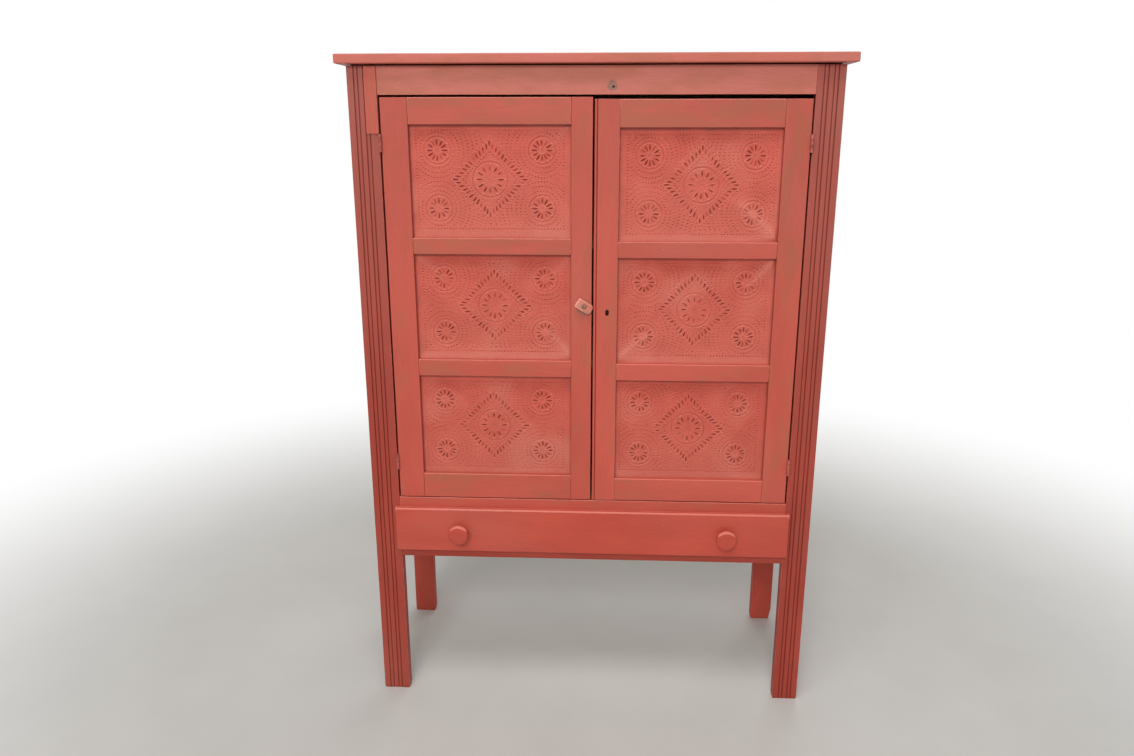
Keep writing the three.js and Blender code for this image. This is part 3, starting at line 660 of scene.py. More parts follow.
@dataclass(frozen=True)
class BrushedOilPaint:
    """Old brick red oil paint, brushed on planed wood: satin, streaked along the grain, stained and worn at
    the arrises, where a paler pink shows; the same pink paints highlights on upper arrises and rims, a
    painted sheen pales it towards the top, and painted shade darkens quirks and the keyhole."""

    red: str = "#BE4C3B"
    deep: str = "#B14333"
    faded: str = "#B46558"
    stain: str = "#9E5C42"
    # the pale pink of worn arrises, also used for painted highlights
    rubbed: str = "#D6796A"
    bare: str = "#D2AE9A"
    # also the colour of the painted shade in quirks and the keyhole
    grime: str = "#52211B"
    scar: str = "#7D6253"
    cloud: float = 110  # millimetres across a patch of deeper or paler paint
    blotch: float = 38
    rubbing: float = 6.25
    speck: float = 14
    uneven: float = 26  # between the hollows of the planed wood
    brush: float = 1.6  # width of a brush hair's furrow, drawn coarser than it is so that it shows
    pore: float = 0.55
    roughness: float = 0.5
    specular: float = 0.3  # old oil paint has lost most of its gloss

    @cache
    def material(self) -> bpy.types.Material:
        """The finish as a material."""
        material, add = new_material("brick_red_oil_paint_on_wood")
        at = BoardCoordinates(add)
        drawn = add("Mapping", {"Vector": at.place, "Scale": (0.35, 1, 1)})
        long = add("Mapping", {"Vector": at.place, "Scale": (0.045, 1, 1)})

        # Patches of deeper and paler paint, as light and hands leave them, and a painted sheen that pales the
        # paint towards the top
        cloud = add("TexNoise", {"Vector": drawn, "Scale": 1 / self.cloud, "Detail": 3.0})
        patch = add("MapRange", {"Value": cloud, "From Min": 0.36, "From Max": 0.66}, **EASED)
        colour = add("Mix", {"Factor": patch, "A": shade(self.deep), "B": shade(self.red)}, data_type="RGBA")
        hue = add("TexNoise", {"Vector": drawn, "Scale": 0.6 / self.cloud, "Detail": 2.0})
        pale = add("MapRange", {"Value": hue, "From Min": 0.5, "From Max": 0.75, "To Max": 0.35}, **EASED)
        pale = add("Math", {0: "fade", 1: 0.35, 2: pale}, operation="MULTIPLY_ADD", use_clamp=True)
        colour = add("Mix", {"Factor": pale, "A": colour, "B": shade(self.faded)}, data_type="RGBA")

        # Furrows of the brush
        brush = add("TexNoise", {"Vector": long, "Scale": 1 / self.brush, "Detail": 3.0})
        streak = add("MapRange", {"Value": brush, **NOISE_SPAN, "To Min": 0.93, "To Max": 1.05})
        colour = add("VectorMath", {0: colour, "Scale": streak}, operation="SCALE")

        # Brown grey stains, more of them where the board's grime says so
        blot = add("TexNoise", {"Vector": drawn, "Scale": 1 / self.blotch, "Detail": 6.0, "Roughness": 0.62})
        reach = add("Math", {0: "grime", 1: 0.34, 2: 0.36}, operation="MULTIPLY_ADD")
        low = add("Math", {0: 0.98, 1: reach}, operation="SUBTRACT")
        high = add("Math", {0: low, 1: 0.26}, operation="ADD")
        stain = add("MapRange", {"Value": blot, "From Min": low, "From Max": high, "To Max": 0.56}, **EASED)
        colour = add("Mix", {"Factor": stain, "A": colour, "B": shade(self.stain)}, data_type="RGBA")
        colour = add("VectorMath", {0: colour, "Scale": "tone"}, operation="SCALE")

        # A scar where something was fixed or where hands have worn the paint; round the turn button it also
        # holds the button's painted shadow
        torn = add("TexNoise", {"Vector": at.place, "Scale": 0.12, "Detail": 5.0, "Roughness": 0.65})
        edge = add("Math", {0: torn, 1: 1.5, 2: 0.25}, operation="MULTIPLY_ADD")
        scar = add("Math", {0: at.from_scar, 1: edge}, operation="DIVIDE")
        scar = add("MapRange", {"Value": scar, "From Min": 1.15, "From Max": 0.62, "To Max": 0.85}, **EASED)

        # Worn arrises, with the bare wood in the worst places, painted highlights along upper arrises and
        # rims, and grime with painted shade in quirks and the keyhole
        torn = add("TexNoise", {"Vector": drawn, "Scale": 1 / self.rubbing, "Detail": 4.0, "Roughness": 0.7})
        reach = add("Math", {0: torn, 1: 4.6, 2: -2.1}, operation="MULTIPLY_ADD")
        reach = add("Math", {0: reach, 1: "wear"}, operation="MULTIPLY")
        near = add("Math", {0: reach, 1: at.arris}, operation="SUBTRACT")
        handled = add("Math", {0: near, 1: "rub"}, operation="ADD")
        # worn arrises, and painted highlights where a board's noted value says so
        rub = add("MapRange", {"Value": handled, "From Min": -0.9, "From Max": 0.6, "To Max": 0.85}, **EASED)
        chips = add("MapRange", {"Value": near, "From Min": 0.9, "From Max": 1.5, "To Max": 0.9}, **EASED)
        # Grime and painted shade in the reeds' and the bead's quirks, painted shade in the keyhole
        dirt = add("Math", {0: "hollow", 1: 0.62}, operation="MULTIPLY", use_clamp=True)

        # Specks knocked out of the paint, down to old dirt or to the wood
        speck = add("TexVoronoi", {"Vector": at.place, "Scale": 1 / self.speck, "Randomness": 1.0})
        spot = add("MapRange", {"Value": speck, "From Min": 0.075, "From Max": 0.04}, **EASED)
        luck = add("SeparateColor", {0: speck.outputs["Color"]})
        rare = add("Math", {0: luck.outputs[0], 1: 0.9}, operation="GREATER_THAN")
        for share in (rare, 0.7):
            spot = add("Math", {0: spot, 1: share}, operation="MULTIPLY")
        bared = add("Math", {0: luck.outputs[1], 1: 0.55}, operation="GREATER_THAN")
        base = add("Mix", {"Factor": bared, "A": shade(self.grime), "B": shade(self.bare)}, data_type="RGBA")
        for share, over in (
            (scar, shade(self.scar)), (rub, shade(self.rubbed)), (chips, shade(self.bare)),
            (dirt, shade(self.grime)), (spot, base),
        ):
            colour = add("Mix", {"Factor": share, "A": colour, "B": over}, data_type="RGBA")

        # Satin sheen, duller on stains, with the brush and the pores of the wood under it
        low, high = self.roughness - 0.07, self.roughness + 0.13
        rough = add("MapRange", {"Value": blot, "To Min": low, "To Max": high})
        pores = add("TexNoise", {"Vector": long, "Scale": 1 / self.pore, "Detail": 2.0})
        uneven = add("TexNoise", {"Vector": drawn, "Scale": 1 / self.uneven, "Detail": 1.0})
        height = brush
        for part, share in ((pores, 0.35), (uneven, 3.0), (rub, -0.8)):
            height = add("Math", {0: part, 1: share, 2: height}, operation="MULTIPLY_ADD")
        bump = add("Bump", {"Height": height, "Strength": 0.55, "Distance": 0.11 * MM})
        add("OutputMaterial", {"Surface": add("BsdfPrincipled", {
            "Base Color": colour, "Roughness": rough, "Specular IOR Level": self.specular, "Normal": bump,
        })})
        return material


@dataclass(frozen=True)
class BrushedTinPaint:
    """The same paint brushed over punched tin: a little smoother and shinier, pooled in the slits and thin
    on the burrs, with painted shade where the frame meets the sheet and a painted highlight low on the
    sheet and on its folds."""

    red: str = "#C25242"
    deep: str = "#B64838"
    faded: str = "#C06959"
    soot: str = "#84544A"
    burr: str = "#D47867"
    slit: str = "#6A1D10"
    cloud: float = 70  # millimetres across a patch of deeper or paler paint
    smudge: float = 24
    grit: float = 4.2
    brush: float = 3.2  # width of a brush hair's furrow, drawn coarser than it is so that it shows
    roughness: float = 0.46
    specular: float = 0.32

    @cache
    def material(self) -> bpy.types.Material:
        """The finish as a material."""
        material, add = new_material("brick_red_oil_paint_on_tin")
        moved = add("VectorMath", {0: "sheet", 1: "seed"}, operation="ADD")
        place = add("VectorMath", {0: moved, "Scale": 1 / MM}, operation="SCALE")
        level = add("Mapping", {"Vector": place, "Scale": (0.22, 1, 1)})
        cloud = add("TexNoise", {"Vector": place, "Scale": 1 / self.cloud, "Detail": 4.0})
        patch = add("MapRange", {"Value": cloud, "From Min": 0.34, "From Max": 0.64}, **EASED)
        colour = add("Mix", {"Factor": patch, "A": shade(self.deep), "B": shade(self.red)}, data_type="RGBA")
        # Faded patches, and a painted highlight where fade is high: low on the sheet, along its foot and on
        # its folds
        haze = add("TexNoise", {"Vector": place, "Scale": 0.5 / self.cloud, "Detail": 2.0})
        pale = add("MapRange", {"Value": haze, "From Min": 0.48, "From Max": 0.75, "To Max": 0.5}, **EASED)
        pale = add("Math", {0: "fade", 1: 0.45, 2: pale}, operation="MULTIPLY_ADD", use_clamp=True)
        colour = add("Mix", {"Factor": pale, "A": colour, "B": shade(self.faded)}, data_type="RGBA")
        brush = add("TexNoise", {"Vector": level, "Scale": 1 / self.brush, "Detail": 3.0})
        streak = add("MapRange", {"Value": brush, **NOISE_SPAN, "To Min": 0.95, "To Max": 1.04})
        grit = add("TexNoise", {"Vector": place, "Scale": 1 / self.grit, "Detail": 3.0})
        fleck = add("MapRange", {"Value": grit, **NOISE_SPAN, "To Min": 0.94, "To Max": 1.06})
        streak = add("Math", {0: streak, 1: fleck}, operation="MULTIPLY")
        colour = add("VectorMath", {0: colour, "Scale": streak}, operation="SCALE")

        # Soot and grease near the edges of the sheet
        smudge = add("TexNoise", {"Vector": place, "Scale": 1 / self.smudge, "Detail": 4.0})
        soot = add("Math", {0: smudge, 1: "smudge"}, operation="MULTIPLY")
        soot = add("MapRange", {"Value": soot, "From Min": 0.18, "From Max": 0.75, "To Max": 0.8}, **EASED)
        # Painted shade, in the slits' colour, in the corner that the frame makes with the sheet at its top
        # and sides
        corner = add("Math", {0: "gathered", 1: 0.75}, operation="MULTIPLY", use_clamp=True)

        # Thin paint on what stands proud, with a painted highlight on the folds, dark slits in what lies deep
        burr, slit = (
            add("MapRange", {"Value": "relief", "From Min": start, "From Max": end, "To Max": most}, **EASED)
            for start, end, most in ((0.12, 0.7, 0.42), (-0.25, -1.3, 0.85))
        )
        for share, over in ((soot, self.soot), (corner, self.slit), (burr, self.burr), (slit, self.slit)):
            colour = add("Mix", {"Factor": share, "A": colour, "B": shade(over)}, data_type="RGBA")
        low, high = self.roughness - 0.08, self.roughness + 0.1
        rough = add("MapRange", {"Value": cloud, "To Min": low, "To Max": high})
        rough = add("Math", {0: slit, 1: 0.4, 2: rough}, operation="MULTIPLY_ADD", use_clamp=True)
        height = add("Math", {0: grit, 1: 1.9, 2: brush}, operation="MULTIPLY_ADD")
        bump = add("Bump", {"Height": height, "Strength": 0.7, "Distance": 0.42 * MM})
        add("OutputMaterial", {"Surface": add("BsdfPrincipled", {
            "Base Color": colour, "Roughness": rough, "Specular IOR Level": self.specular, "Normal": bump,
        })})
        return material


@dataclass(frozen=True)
class AgedPine:
    """Bare pine that has never been painted: honey brown growth rings, knots and a grey bloom, quite matt."""

    early: str = "#B98F63"
    late: str = "#8F6238"
    bloom: str = "#A08A70"
    knot: str = "#5B3820"
    ring: float = 7.5  # millimetres between growth rings on the face
    sway: float = 26  # how far the rings wander
    heart: float = 34
    fibre: float = 0.7
    knots: float = 120  # between knots
    dust: float = 90
    roughness: float = 0.78

    @cache
    def material(self) -> bpy.types.Material:
        """The finish as a material."""
        material, add = new_material("aged_bare_pine")
        at = BoardCoordinates(add)
        drawn = add("Mapping", {"Vector": at.place, "Scale": (0.05, 1, 1)})
        bend = add("TexNoise", {"Vector": drawn, "Scale": 1 / 30, "Detail": 2.0})
        turn = add("VectorMath", {0: bend.outputs["Color"], "Scale": self.sway}, operation="SCALE")
        bent = add("VectorMath", {0: drawn, 1: turn}, operation="ADD")
        rings = add(
            "TexWave", {"Vector": bent, "Scale": 0.31 / self.ring, "Distortion": 2.2, "Detail": 2.0},
            wave_type="BANDS", bands_direction="Y", wave_profile="SAW",
        ).outputs["Fac"]
        late = add("MapRange", {"Value": rings, "From Min": 0.35, "From Max": 1.0}, **EASED)
        heart = add("TexNoise", {"Vector": drawn, "Scale": 1 / self.heart, "Detail": 1.0})
        heart = add(
            "MapRange", {"Value": heart, "From Min": 0.38, "From Max": 0.62, "To Min": 0.2, "To Max": 0.8},
        )
        late = add("Math", {0: late, 1: heart}, operation="MULTIPLY")
        colour = add("Mix", {"Factor": late, "A": shade(self.early), "B": shade(self.late)}, data_type="RGBA")
        fibre = add("TexNoise", {"Vector": drawn, "Scale": 1 / self.fibre, "Detail": 2.0})
        lit = add("MapRange", {"Value": fibre, **NOISE_SPAN, "To Min": 0.9, "To Max": 1.07})
        colour = add("VectorMath", {0: colour, "Scale": lit}, operation="SCALE")
        spread = add("Mapping", {"Vector": at.place, "Scale": (0.55, 1, 1)})
        knots = add("TexVoronoi", {"Vector": spread, "Scale": 1 / self.knots, "Randomness": 0.9})
        core = add("MapRange", {"Value": knots, "From Min": 0.085, "From Max": 0.045}, **EASED)
        grey = add("TexNoise", {"Vector": spread, "Scale": 1 / self.dust, "Detail": 4.0})
        dull = add("MapRange", {"Value": grey, "From Min": 0.4, "From Max": 0.75, "To Max": 0.7}, **EASED)
        for share, over in ((core, self.knot), (dull, self.bloom)):
            colour = add("Mix", {"Factor": share, "A": colour, "B": shade(over)}, data_type="RGBA")
        colour = add("VectorMath", {0: colour, "Scale": "tone"}, operation="SCALE")
        # Grime and painted shade in the joints between the back boards
        dirt = add("Math", {0: "hollow", 1: 0.7}, operation="MULTIPLY", use_clamp=True)
        colour = add("Mix", {"Factor": dirt, "A": colour, "B": shade(self.knot)}, data_type="RGBA")
        height = add("Math", {0: rings, 1: 0.4, 2: fibre}, operation="MULTIPLY_ADD")
        bump = add("Bump", {"Height": height, "Strength": 0.4, "Distance": 0.15 * MM})
        wood = add("BsdfPrincipled", {"Base Color": colour, "Roughness": self.roughness, "Normal": bump})
        add("OutputMaterial", {"Surface": wood})
        return material


@dataclass(frozen=True)
class OldMetal:
    """Small ironwork, cast or forged: mottled colour and a grainy skin that breaks up its highlights."""

    name: str
    light: str
    dark: str
    mottle: float  # millimetres across a patch
    roughness: float
    metallic: float
    grit: float = 0.5  # millimetres across a grain of the skin

    @cache
    def material(self) -> bpy.types.Material:
        """The finish as a material."""
        material, add = new_material(self.name)
        place = add("VectorMath", {0: add("TexCoord").outputs["Object"], "Scale": 1 / MM}, operation="SCALE")
        patch = add("TexNoise", {"Vector": place, "Scale": 1 / self.mottle, "Detail": 4.0})
        lit = add("MapRange", {"Value": patch, "From Min": 0.36, "From Max": 0.64}, **EASED)
        colour = add("Mix", {"Factor": lit, "A": shade(self.dark), "B": shade(self.light)}, data_type="RGBA")
        low, high = self.roughness + 0.12, self.roughness - 0.08
        rough = add("MapRange", {"Value": patch, "To Min": low, "To Max": high})
        grain = add("TexNoise", {"Vector": place, "Scale": 1 / self.grit, "Detail": 2.0})
        bump = add("Bump", {"Height": grain, "Strength": 0.5, "Distance": 0.08 * MM})
        add("OutputMaterial", {"Surface": add("BsdfPrincipled", {
            "Base Color": colour, "Roughness": rough, "Metallic": self.metallic, "Normal": bump,
        })})
        return material


class Finish(Enum):
    """The finishes of the pie safe, each with the record's slot that it belongs to."""

    PAINTED_WOOD = ("painted_wood", BrushedOilPaint())
    RUBBED_WOOD = (
        "worn_painted_wood",
        BrushedOilPaint(
            red="#CF7060", deep="#C05548", faded="#CF8A79", stain="#A5806B", rubbed="#E29482",
            bare="#E8B39C", cloud=14, blotch=9, brush=1.0,
        ),
    )
    PAINTED_TIN = ("painted_tin", BrushedTinPaint())
    # Hinges that were painted with the frame and rubbed dark at the knuckles
    PAINTED_IRON = (
        "painted_iron",
        OldMetal("painted_over_iron", "#B4574A", "#7E3A31", mottle=6, roughness=0.5, metallic=0.0),
    )
    # A turned steel screw with the paint worn off its head
    WORN_STEEL = (
        "worn_steel", OldMetal("worn_steel", "#97725F", "#5B4135", mottle=3, roughness=0.5, metallic=0.4),
    )
    # Sheet iron gone brown black in the dark of the lock
    DARK_IRON = (
        "dark_iron",
        OldMetal("dark_sheet_iron", "#5C524A", "#332C28", mottle=9, roughness=0.55, metallic=0.7),
    )
    BARE_PINE = ("bare_pine", AgedPine())

    @property
    def slot(self) -> str:
        """The record's material slot."""
        return self.value[0]

    def put_on(self, piece: Piece) -> None:
        """Gives a piece this finish."""
        piece.data.materials.clear()
        piece.data.materials.append(self.value[1].material())


# Boards


@dataclass
class Board:
    """One board: where it lies, how its grain runs and what the years did to it."""

    name: str
    box: Box
    grain: Grain
    nodes: tuple[str, ...]
    body: str = "case"
    finish: Finish = Finish.PAINTED_WOOD
    arris: float = 1.1 * MM
    wear: float = 0.55
    grime: float = 0.35
    tone: float = 1.0  # how light its paint has stayed; on some boards, such as the legs and the header, also a painted light that evens out the lamps
    fading: float = 1.0  # how much of the painted sheen, paler towards the top, it takes
    bloom: float = 0.0  # how faded it is all over
    ageing: float = 0.0  # how much darker its upper parts are drawn: a painted shade that evens out the stronger light at the top
    top_rub: float = 0.0  # how far a painted highlight, in the worn pink, reaches in from its upper arris, in millimetres
    handled: Callable[[Array], Array] | None = None  # the same at each point, where that isn't enough: worn paint, and on the knobs a painted highlight
    scar: tuple[Vector, float] | None = None  # middle and radius
    shape: Callable[[Piece], None] | None = None
    # how much grime and painted shade each point takes, in quirks, joints and the keyhole
    hollow: Callable[[Array], Array] | None = None
    stock: Callable[[], Piece] | None = None

    @property
    def seed(self) -> float:
        """A number of its own, worked out from its name."""
        return sum((i + 1) * ord(letter) for i, letter in enumerate(self.name)) % 997 / 7

    def build(self) -> Piece:
        """Models the board, finishes it and hangs it on its body.

        Returns:
            The finished board.
        """
        piece = self.stock() if self.stock else block(self.name, self.box)
        if self.shape:
            self.shape(piece)
        if not self.stock:
            self.plane(piece)
            soften(piece, self.arris)
        self.mark(piece)
        return hang(piece, self.body, self.finish, self.nodes)

    def plane(self, piece: Piece) -> None:
        """Leaves the board as a hand plane does, its long arrises not quite straight.

        Args:
            piece: The board.
        """
        along = self.grain.value[0]
        length = self.box.size[along]
        count = int(length / (55 * MM))
        cut_rings(piece, along, [self.box.low[along] + length * i / (count + 1) for i in range(1, count + 1)])
        places = positions(piece)
        middle = np.array(self.box.middle)
        half = np.array(self.box.size) / 2
        for axis in self.grain.value[1:]:
            row = self.seed + axis * 5
            off = np.array([
                noise.noise(Vector((p[along] * 9, row, math.copysign(3.0, p[axis] - middle[axis]))))
                for p in places
            ])
            at_face = np.abs(np.abs(places[:, axis] - middle[axis]) - half[axis]) < 0.05 * MM
            inwards = -np.sign(places[:, axis] - middle[axis])
            places[:, axis] += at_face * inwards * np.abs(off) * 0.45 * MM
        move_to(piece, places)

    def mark(self, piece: Piece) -> None:
        """Notes on the board what its finish reads.

        Args:
            piece: The board.
        """
        places = positions(piece)
        order = list(self.grain.value)
        middle = np.array(self.box.middle)[order]
        half = np.array(self.box.size)[order] / 2
        count = len(places)
        board = places[:, order] - middle
        halves = np.tile(half, (count, 1))
        let_in = (np.abs(board[:, 0]) > half[0] + FIT) | (board[:, 2] > half[2] + FIT)
        halves[let_in, 0] += TENON
        at_foot, at_top = places[:, 2] < 2 * MM, places[:, 2] > self.box.high.z - 4 * MM
        height = smooth(places[:, 2], *SHEEN_HEIGHTS)
        note(
            piece, board=board, half=halves,
            seed=np.tile([self.seed, self.seed * 0.37, self.seed * 0.61], (count, 1)),
            wear=self.wear + FOOT_WEAR * at_foot,
            # Worn paint, with painted highlights along upper arrises and on the knobs' rims
            rub=self.handled(places) if self.handled else self.top_rub * at_top,
            grime=np.full(count, self.grime),
            # tone: darker towards the top by ageing, a painted shade against the stronger light there
            tone=self.tone * (1 - self.ageing * height),
            # fade: a painted sheen, paler towards the top, over each board's paleness all over
            fade=self.bloom + height * self.fading,
            scar=np.where(board[:, 2:] < 0, self.scar_on_board(), NO_SCAR),
            hollow=self.hollow(places) if self.hollow else np.zeros(count),
        )

    def scar_on_board(self) -> list[float]:
        """Where the scar lies along and across the board, and its radius."""
        if self.scar is None:
            return NO_SCAR
        along, across, _ = self.grain.value
        off = self.scar[0] - self.box.middle
        return [off[along], off[across], self.scar[1]]


def hang(piece: Piece, body: str, finish: Finish, nodes: Sequence[str] = ()) -> Piece:
    """Finishes a piece and hangs it on its body, in place of nodes of the frame.

    Args:
        piece: The piece.
        body: The body that carries it.
        finish: Its finish.
        nodes: The nodes that it stands for.

    Returns:
        The piece.
    """
    finish.put_on(piece)
    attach(piece, body)
    if nodes:
        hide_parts(*nodes)
    LOG.info("%s: %d faces on %s", piece.name, len(piece.data.polygons), body)
    return piece


# The case


@dataclass
class Case:
    """The standing part: posts, rails, top, sides, back, floor and shelves."""

    reed_centres: Pair = (18.4 * MM, 38.3 * MM)  # from the post's outer edge
    reed_half: float = 4 * MM
    reed_depth: float = 3 * MM
    quirk: float = 1.4 * MM
    reed_steps: int = 10
    back_rebate: float = 18 * MM
    back_board_tones: tuple[float, ...] = (1.02, 0.93, 1.06, 0.98, 1.03, 0.9, 1.0)  # one for each board
    back_tongue: float = 1.2 * MM
    post_tone: float = 0.72
    leg_tones: Pair = (0.86, 0.92)  # left and right; the right is drawn lighter, a painted light that makes up for the key lamp hanging to the left
    foot_rings: tuple[float, ...] = (3 * MM, 7 * MM, 14 * MM)  # above the floor
    foot_knock: float = 2.6 * MM
    foot_split: float = 6.5 * MM
    hole_place: Pair = (39 * MM, 15 * MM)  # right of the header's middle and above its foot
    hole_radius: float = 2.6 * MM
    hole_depth: float = 12 * MM
    hole_dish: float = 9 * MM
    joint_chamfer: Pair = (0.6 * MM, 1.1 * MM)  # dirty up to the first, clean from the second
    front: Box = field(default_factory=lambda: Box.of("post_front_left", "post_front_right"))
    left: Box = field(default_factory=lambda: Box.of("post_front_left"))
    right: Box = field(default_factory=lambda: Box.of("post_front_right"))
    back: Box = field(default_factory=lambda: Box.of("post_back_left", "post_back_right"))

    def build(self) -> None:
        """Builds every board of the case."""
        for side in Side:
            self.front_post(side)
            self.back_post(side)
            self.side_rails(side)
        self.front_rails()
        self.repair_strip()
        self.top()
        self.back_boards()
        self.inside()

    def reed_profile(self) -> list[Pair]:
        """The cut lines of a post's face: how far each lies from the outer edge, and how deep."""
        lines = []
        for centre in self.reed_centres:
            lines.append((centre - self.reed_half - self.quirk, 0.0))
            lines.extend(half_round(centre, self.reed_half, self.reed_depth, self.reed_steps))
            lines.append((centre + self.reed_half + self.quirk, 0.0))
        return lines

    def front_post(self, side: Side) -> None:
        """A front post with two reeds down its face and a knocked foot.

        Args:
            side: Which post.
        """
        box, outer = (self.left, self.left.low.x) if side is Side.LEFT else (self.right, self.right.high.x)
        lines = [(outer - side.value * from_edge, depth) for from_edge, depth in self.reed_profile()]

        def reeds(piece: Piece) -> None:
            """Scratches the reeds into the face and wears the foot."""
            scratch(piece, box, lines)
            self.knock_foot(piece, box)

        def dirt(places: Array) -> Array:
            """How deep each corner lies below the face, drawn darker as grime and painted shade in the reeds.
            """
            depth = smooth(places[:, 1] - box.low.y, 0.8 * MM, self.reed_depth)
            return np.where(places[:, 1] < box.middle.y, depth, 0)

        Board(
            f"front_post_{side}", box, Grain.UPRIGHT, (f"post_front_{side}",), arris=1.2 * MM, wear=0.7,
            grime=0.15, tone=self.post_tone, fading=1.7, shape=reeds, hollow=dirt,
        ).build()

    def knock_foot(self, piece: Piece, box: Box) -> None:
        """Rounds a foot's lower edge, as dragging over floors has.

        Args:
            piece: The post.
            box: Its box.
        """
        cut_rings(piece, 2, self.foot_rings)
        places = positions(piece)
        low = 1 - smooth(places[:, 2], -4 * MM, 12 * MM)
        middle = np.array(box.middle)
        for axis in (0, 1):
            edge = np.abs(places[:, axis] - middle[axis]) > box.size[axis] / 2 - 0.2 * MM
            inwards = -np.sign(places[:, axis] - middle[axis])
            places[:, axis] += edge * inwards * low ** 2 * self.foot_knock
        move_to(piece, places)

    def back_post(self, side: Side) -> None:
        """A plain back post, rebated above the leg for the back boards.

        Args:
            side: Which post.
        """
        boards = Box.of("back_boards")
        box = Box.of(f"post_back_{side}").span(2, high=boards.high.z)
        leg = box.span(2, high=boards.low.z - FIT)
        inner = box.high.x if side is Side.LEFT else box.low.x
        step = inner + side.value * self.back_rebate
        rise = box.high.z - leg.high.z

        def post() -> Piece:
            """The leg, with three quarters of its top drawn up."""
            piece = block(f"back_post_{side}", leg)
            cut_rings(piece, 0, [step])
            cut_rings(piece, 1, [boards.low.y - FIT])

            def carries(face: Any) -> bool:
                """Whether the post goes on above this part of the leg's top."""
                centre = face.calc_center_median()
                beside = (centre.x - step) * side.value > 0 or centre.y < boards.low.y
                return face.normal.z > 0.5 and beside

            pull(piece, carries, Vector((0, 0, rise)))
            self.knock_foot(piece, box)
            if side is Side.RIGHT:
                self.split_corner(piece, box)
            soften(piece, 1.2 * MM)
            return piece

        Board(
            f"back_post_{side}", box, Grain.UPRIGHT, (f"post_back_{side}",), wear=0.7, grime=0.15,
            tone=self.leg_tones[side is Side.RIGHT], stock=post,
        ).build()

    def split_corner(self, piece: Piece, box: Box) -> None:
        """Splits the outer corner off a foot, as on the back right leg.

        Args:
            piece: The post.
            box: Its box.
        """
        corner = Vector((box.high.x - self.foot_split, box.low.y, 0))
        way = Vector((1, -0.25, -0.2)).normalized()
        with editing(piece):
            bpy.ops.mesh.select_all(action="SELECT")
            bpy.ops.mesh.bisect(plane_co=corner, plane_no=way, use_fill=True, clear_outer=True)

    def side_rails(self, side: Side) -> None:
        """The four rails of one side.

        Args:
            side: Which side.
        """
        front, back = self.front.high.y + FIT, self.back.low.y - FIT
        for level in ("top", "upper", "lower", "bottom"):
            name, node = f"rail_{side}_{level}", f"side_{side}_rail_{level}"
            box, stock = Box.of(node).span(1, front, back), None
            if level == "bottom":
                box, stock = Box.of(node), partial(eased_copy, name, node, 0.8 * MM)
            Board(name, box, Grain.ALONG_SIDE, (node,), wear=0.5, grime=0.4, stock=stock).build()

    def front_rails(self) -> None:
        """Header, sill and drawer rail, each between the posts."""
        between = (self.left.high.x + FIT, self.right.low.x - FIT)
        header = Box.of("rail_header").span(0, *between)
        right, up = self.hole_place
        hole = Vector((header.middle.x + right, header.low.y, header.low.z + up))
        worn = hole + Vector((-2.5 * MM, 0, 2 * MM))
        front = Vector((0, MM, 0))

        def old_hole(piece: Piece) -> None:
            """A worn dish round an old screw hole."""
            dish = drum("dish", self.hole_dish, worn - front, worn + front)
            end = hole + Vector((0, self.hole_depth, 0))
            carve(piece, dish, drum("screw_hole", self.hole_radius, hole - front, end, 24))

        # Its raised tone and strong sheen are in part painted light, against the shade of the top board's
        # overhang
        Board(
            "header", header, Grain.LEVEL, ("rail_header",), wear=0.75, grime=0.72, tone=1.1, fading=2.8,
            shape=old_hole, arris=1.2 * MM, scar=(worn, 11 * MM),
        ).build()
        Board(
            "sill", Box.of("rail_sill").span(0, *between), Grain.LEVEL, ("rail_sill",), wear=0.7, grime=0.4,
            bloom=0.5, top_rub=0.8,
        ).build()
        Board(
            "drawer_rail", Box.of("rail_drawer").span(0, *between), Grain.LEVEL, ("rail_drawer",), wear=0.6,
            tone=self.post_tone,
        ).build()

    def repair_strip(self) -> None:
        """The strip nailed over the reeds at the head of the left post."""
        Board(
            "repair_strip", Box.of("post_repair_strip"), Grain.UPRIGHT, ("post_repair_strip",), wear=0.9,
            grime=0.5, arris=0.6 * MM,
        ).build()

    def top(self) -> None:
        """The top board, its edge rounded by use."""
        Board(
            "top", Box.of("top_board"), Grain.FLAT, ("top_board",), wear=1.0, grime=0.5, tone=1.1, fading=2.2,
            arris=2.4 * MM,
        ).build()

    def back_boards(self) -> None:
        """Upright boards across the back, let into each other, with a small chamfer along each joint."""
        box = Box.of("back_boards")
        width = box.size.x / len(self.back_board_tones)
        first_joint = box.low.x - self.back_tongue / 2

        def joint_dirt(places: Array) -> Array:
            """How deep each corner lies in a joint between two boards."""
            off = np.abs((places[:, 0] - first_joint + width / 2) % width - width / 2)
            return 1 - smooth(off, *self.joint_chamfer)

        for i, tone in enumerate(self.back_board_tones):
            left = box.low.x + i * width
            right = left + width
            if i:
                left -= self.back_tongue
            Board(
                f"back_board_{i + 1}", box.span(0, left, right), Grain.UPRIGHT,
                ("back_boards",), finish=Finish.BARE_PINE, arris=1.8 * MM, tone=tone, hollow=joint_dirt,
            ).build()

    def inside(self) -> None:
        """The floor of the cupboard and its two shelves."""
        for node in ("case_floor", "shelf_lower", "shelf_upper"):
            name = node.replace("case_", "cupboard_").replace("shelf_", "food_shelf_")
            Board(
                name, Box.of(node), Grain.FLAT, (node,), finish=Finish.BARE_PINE,
                stock=partial(eased_copy, name, node, 0.8 * MM),
            ).build()


# Punched tins


@dataclass(frozen=True)
class Punch:
    """One blow of the slit punch: the middle of the slit and the way that it points."""

    middle: Pair
    way: float
    half_length: float


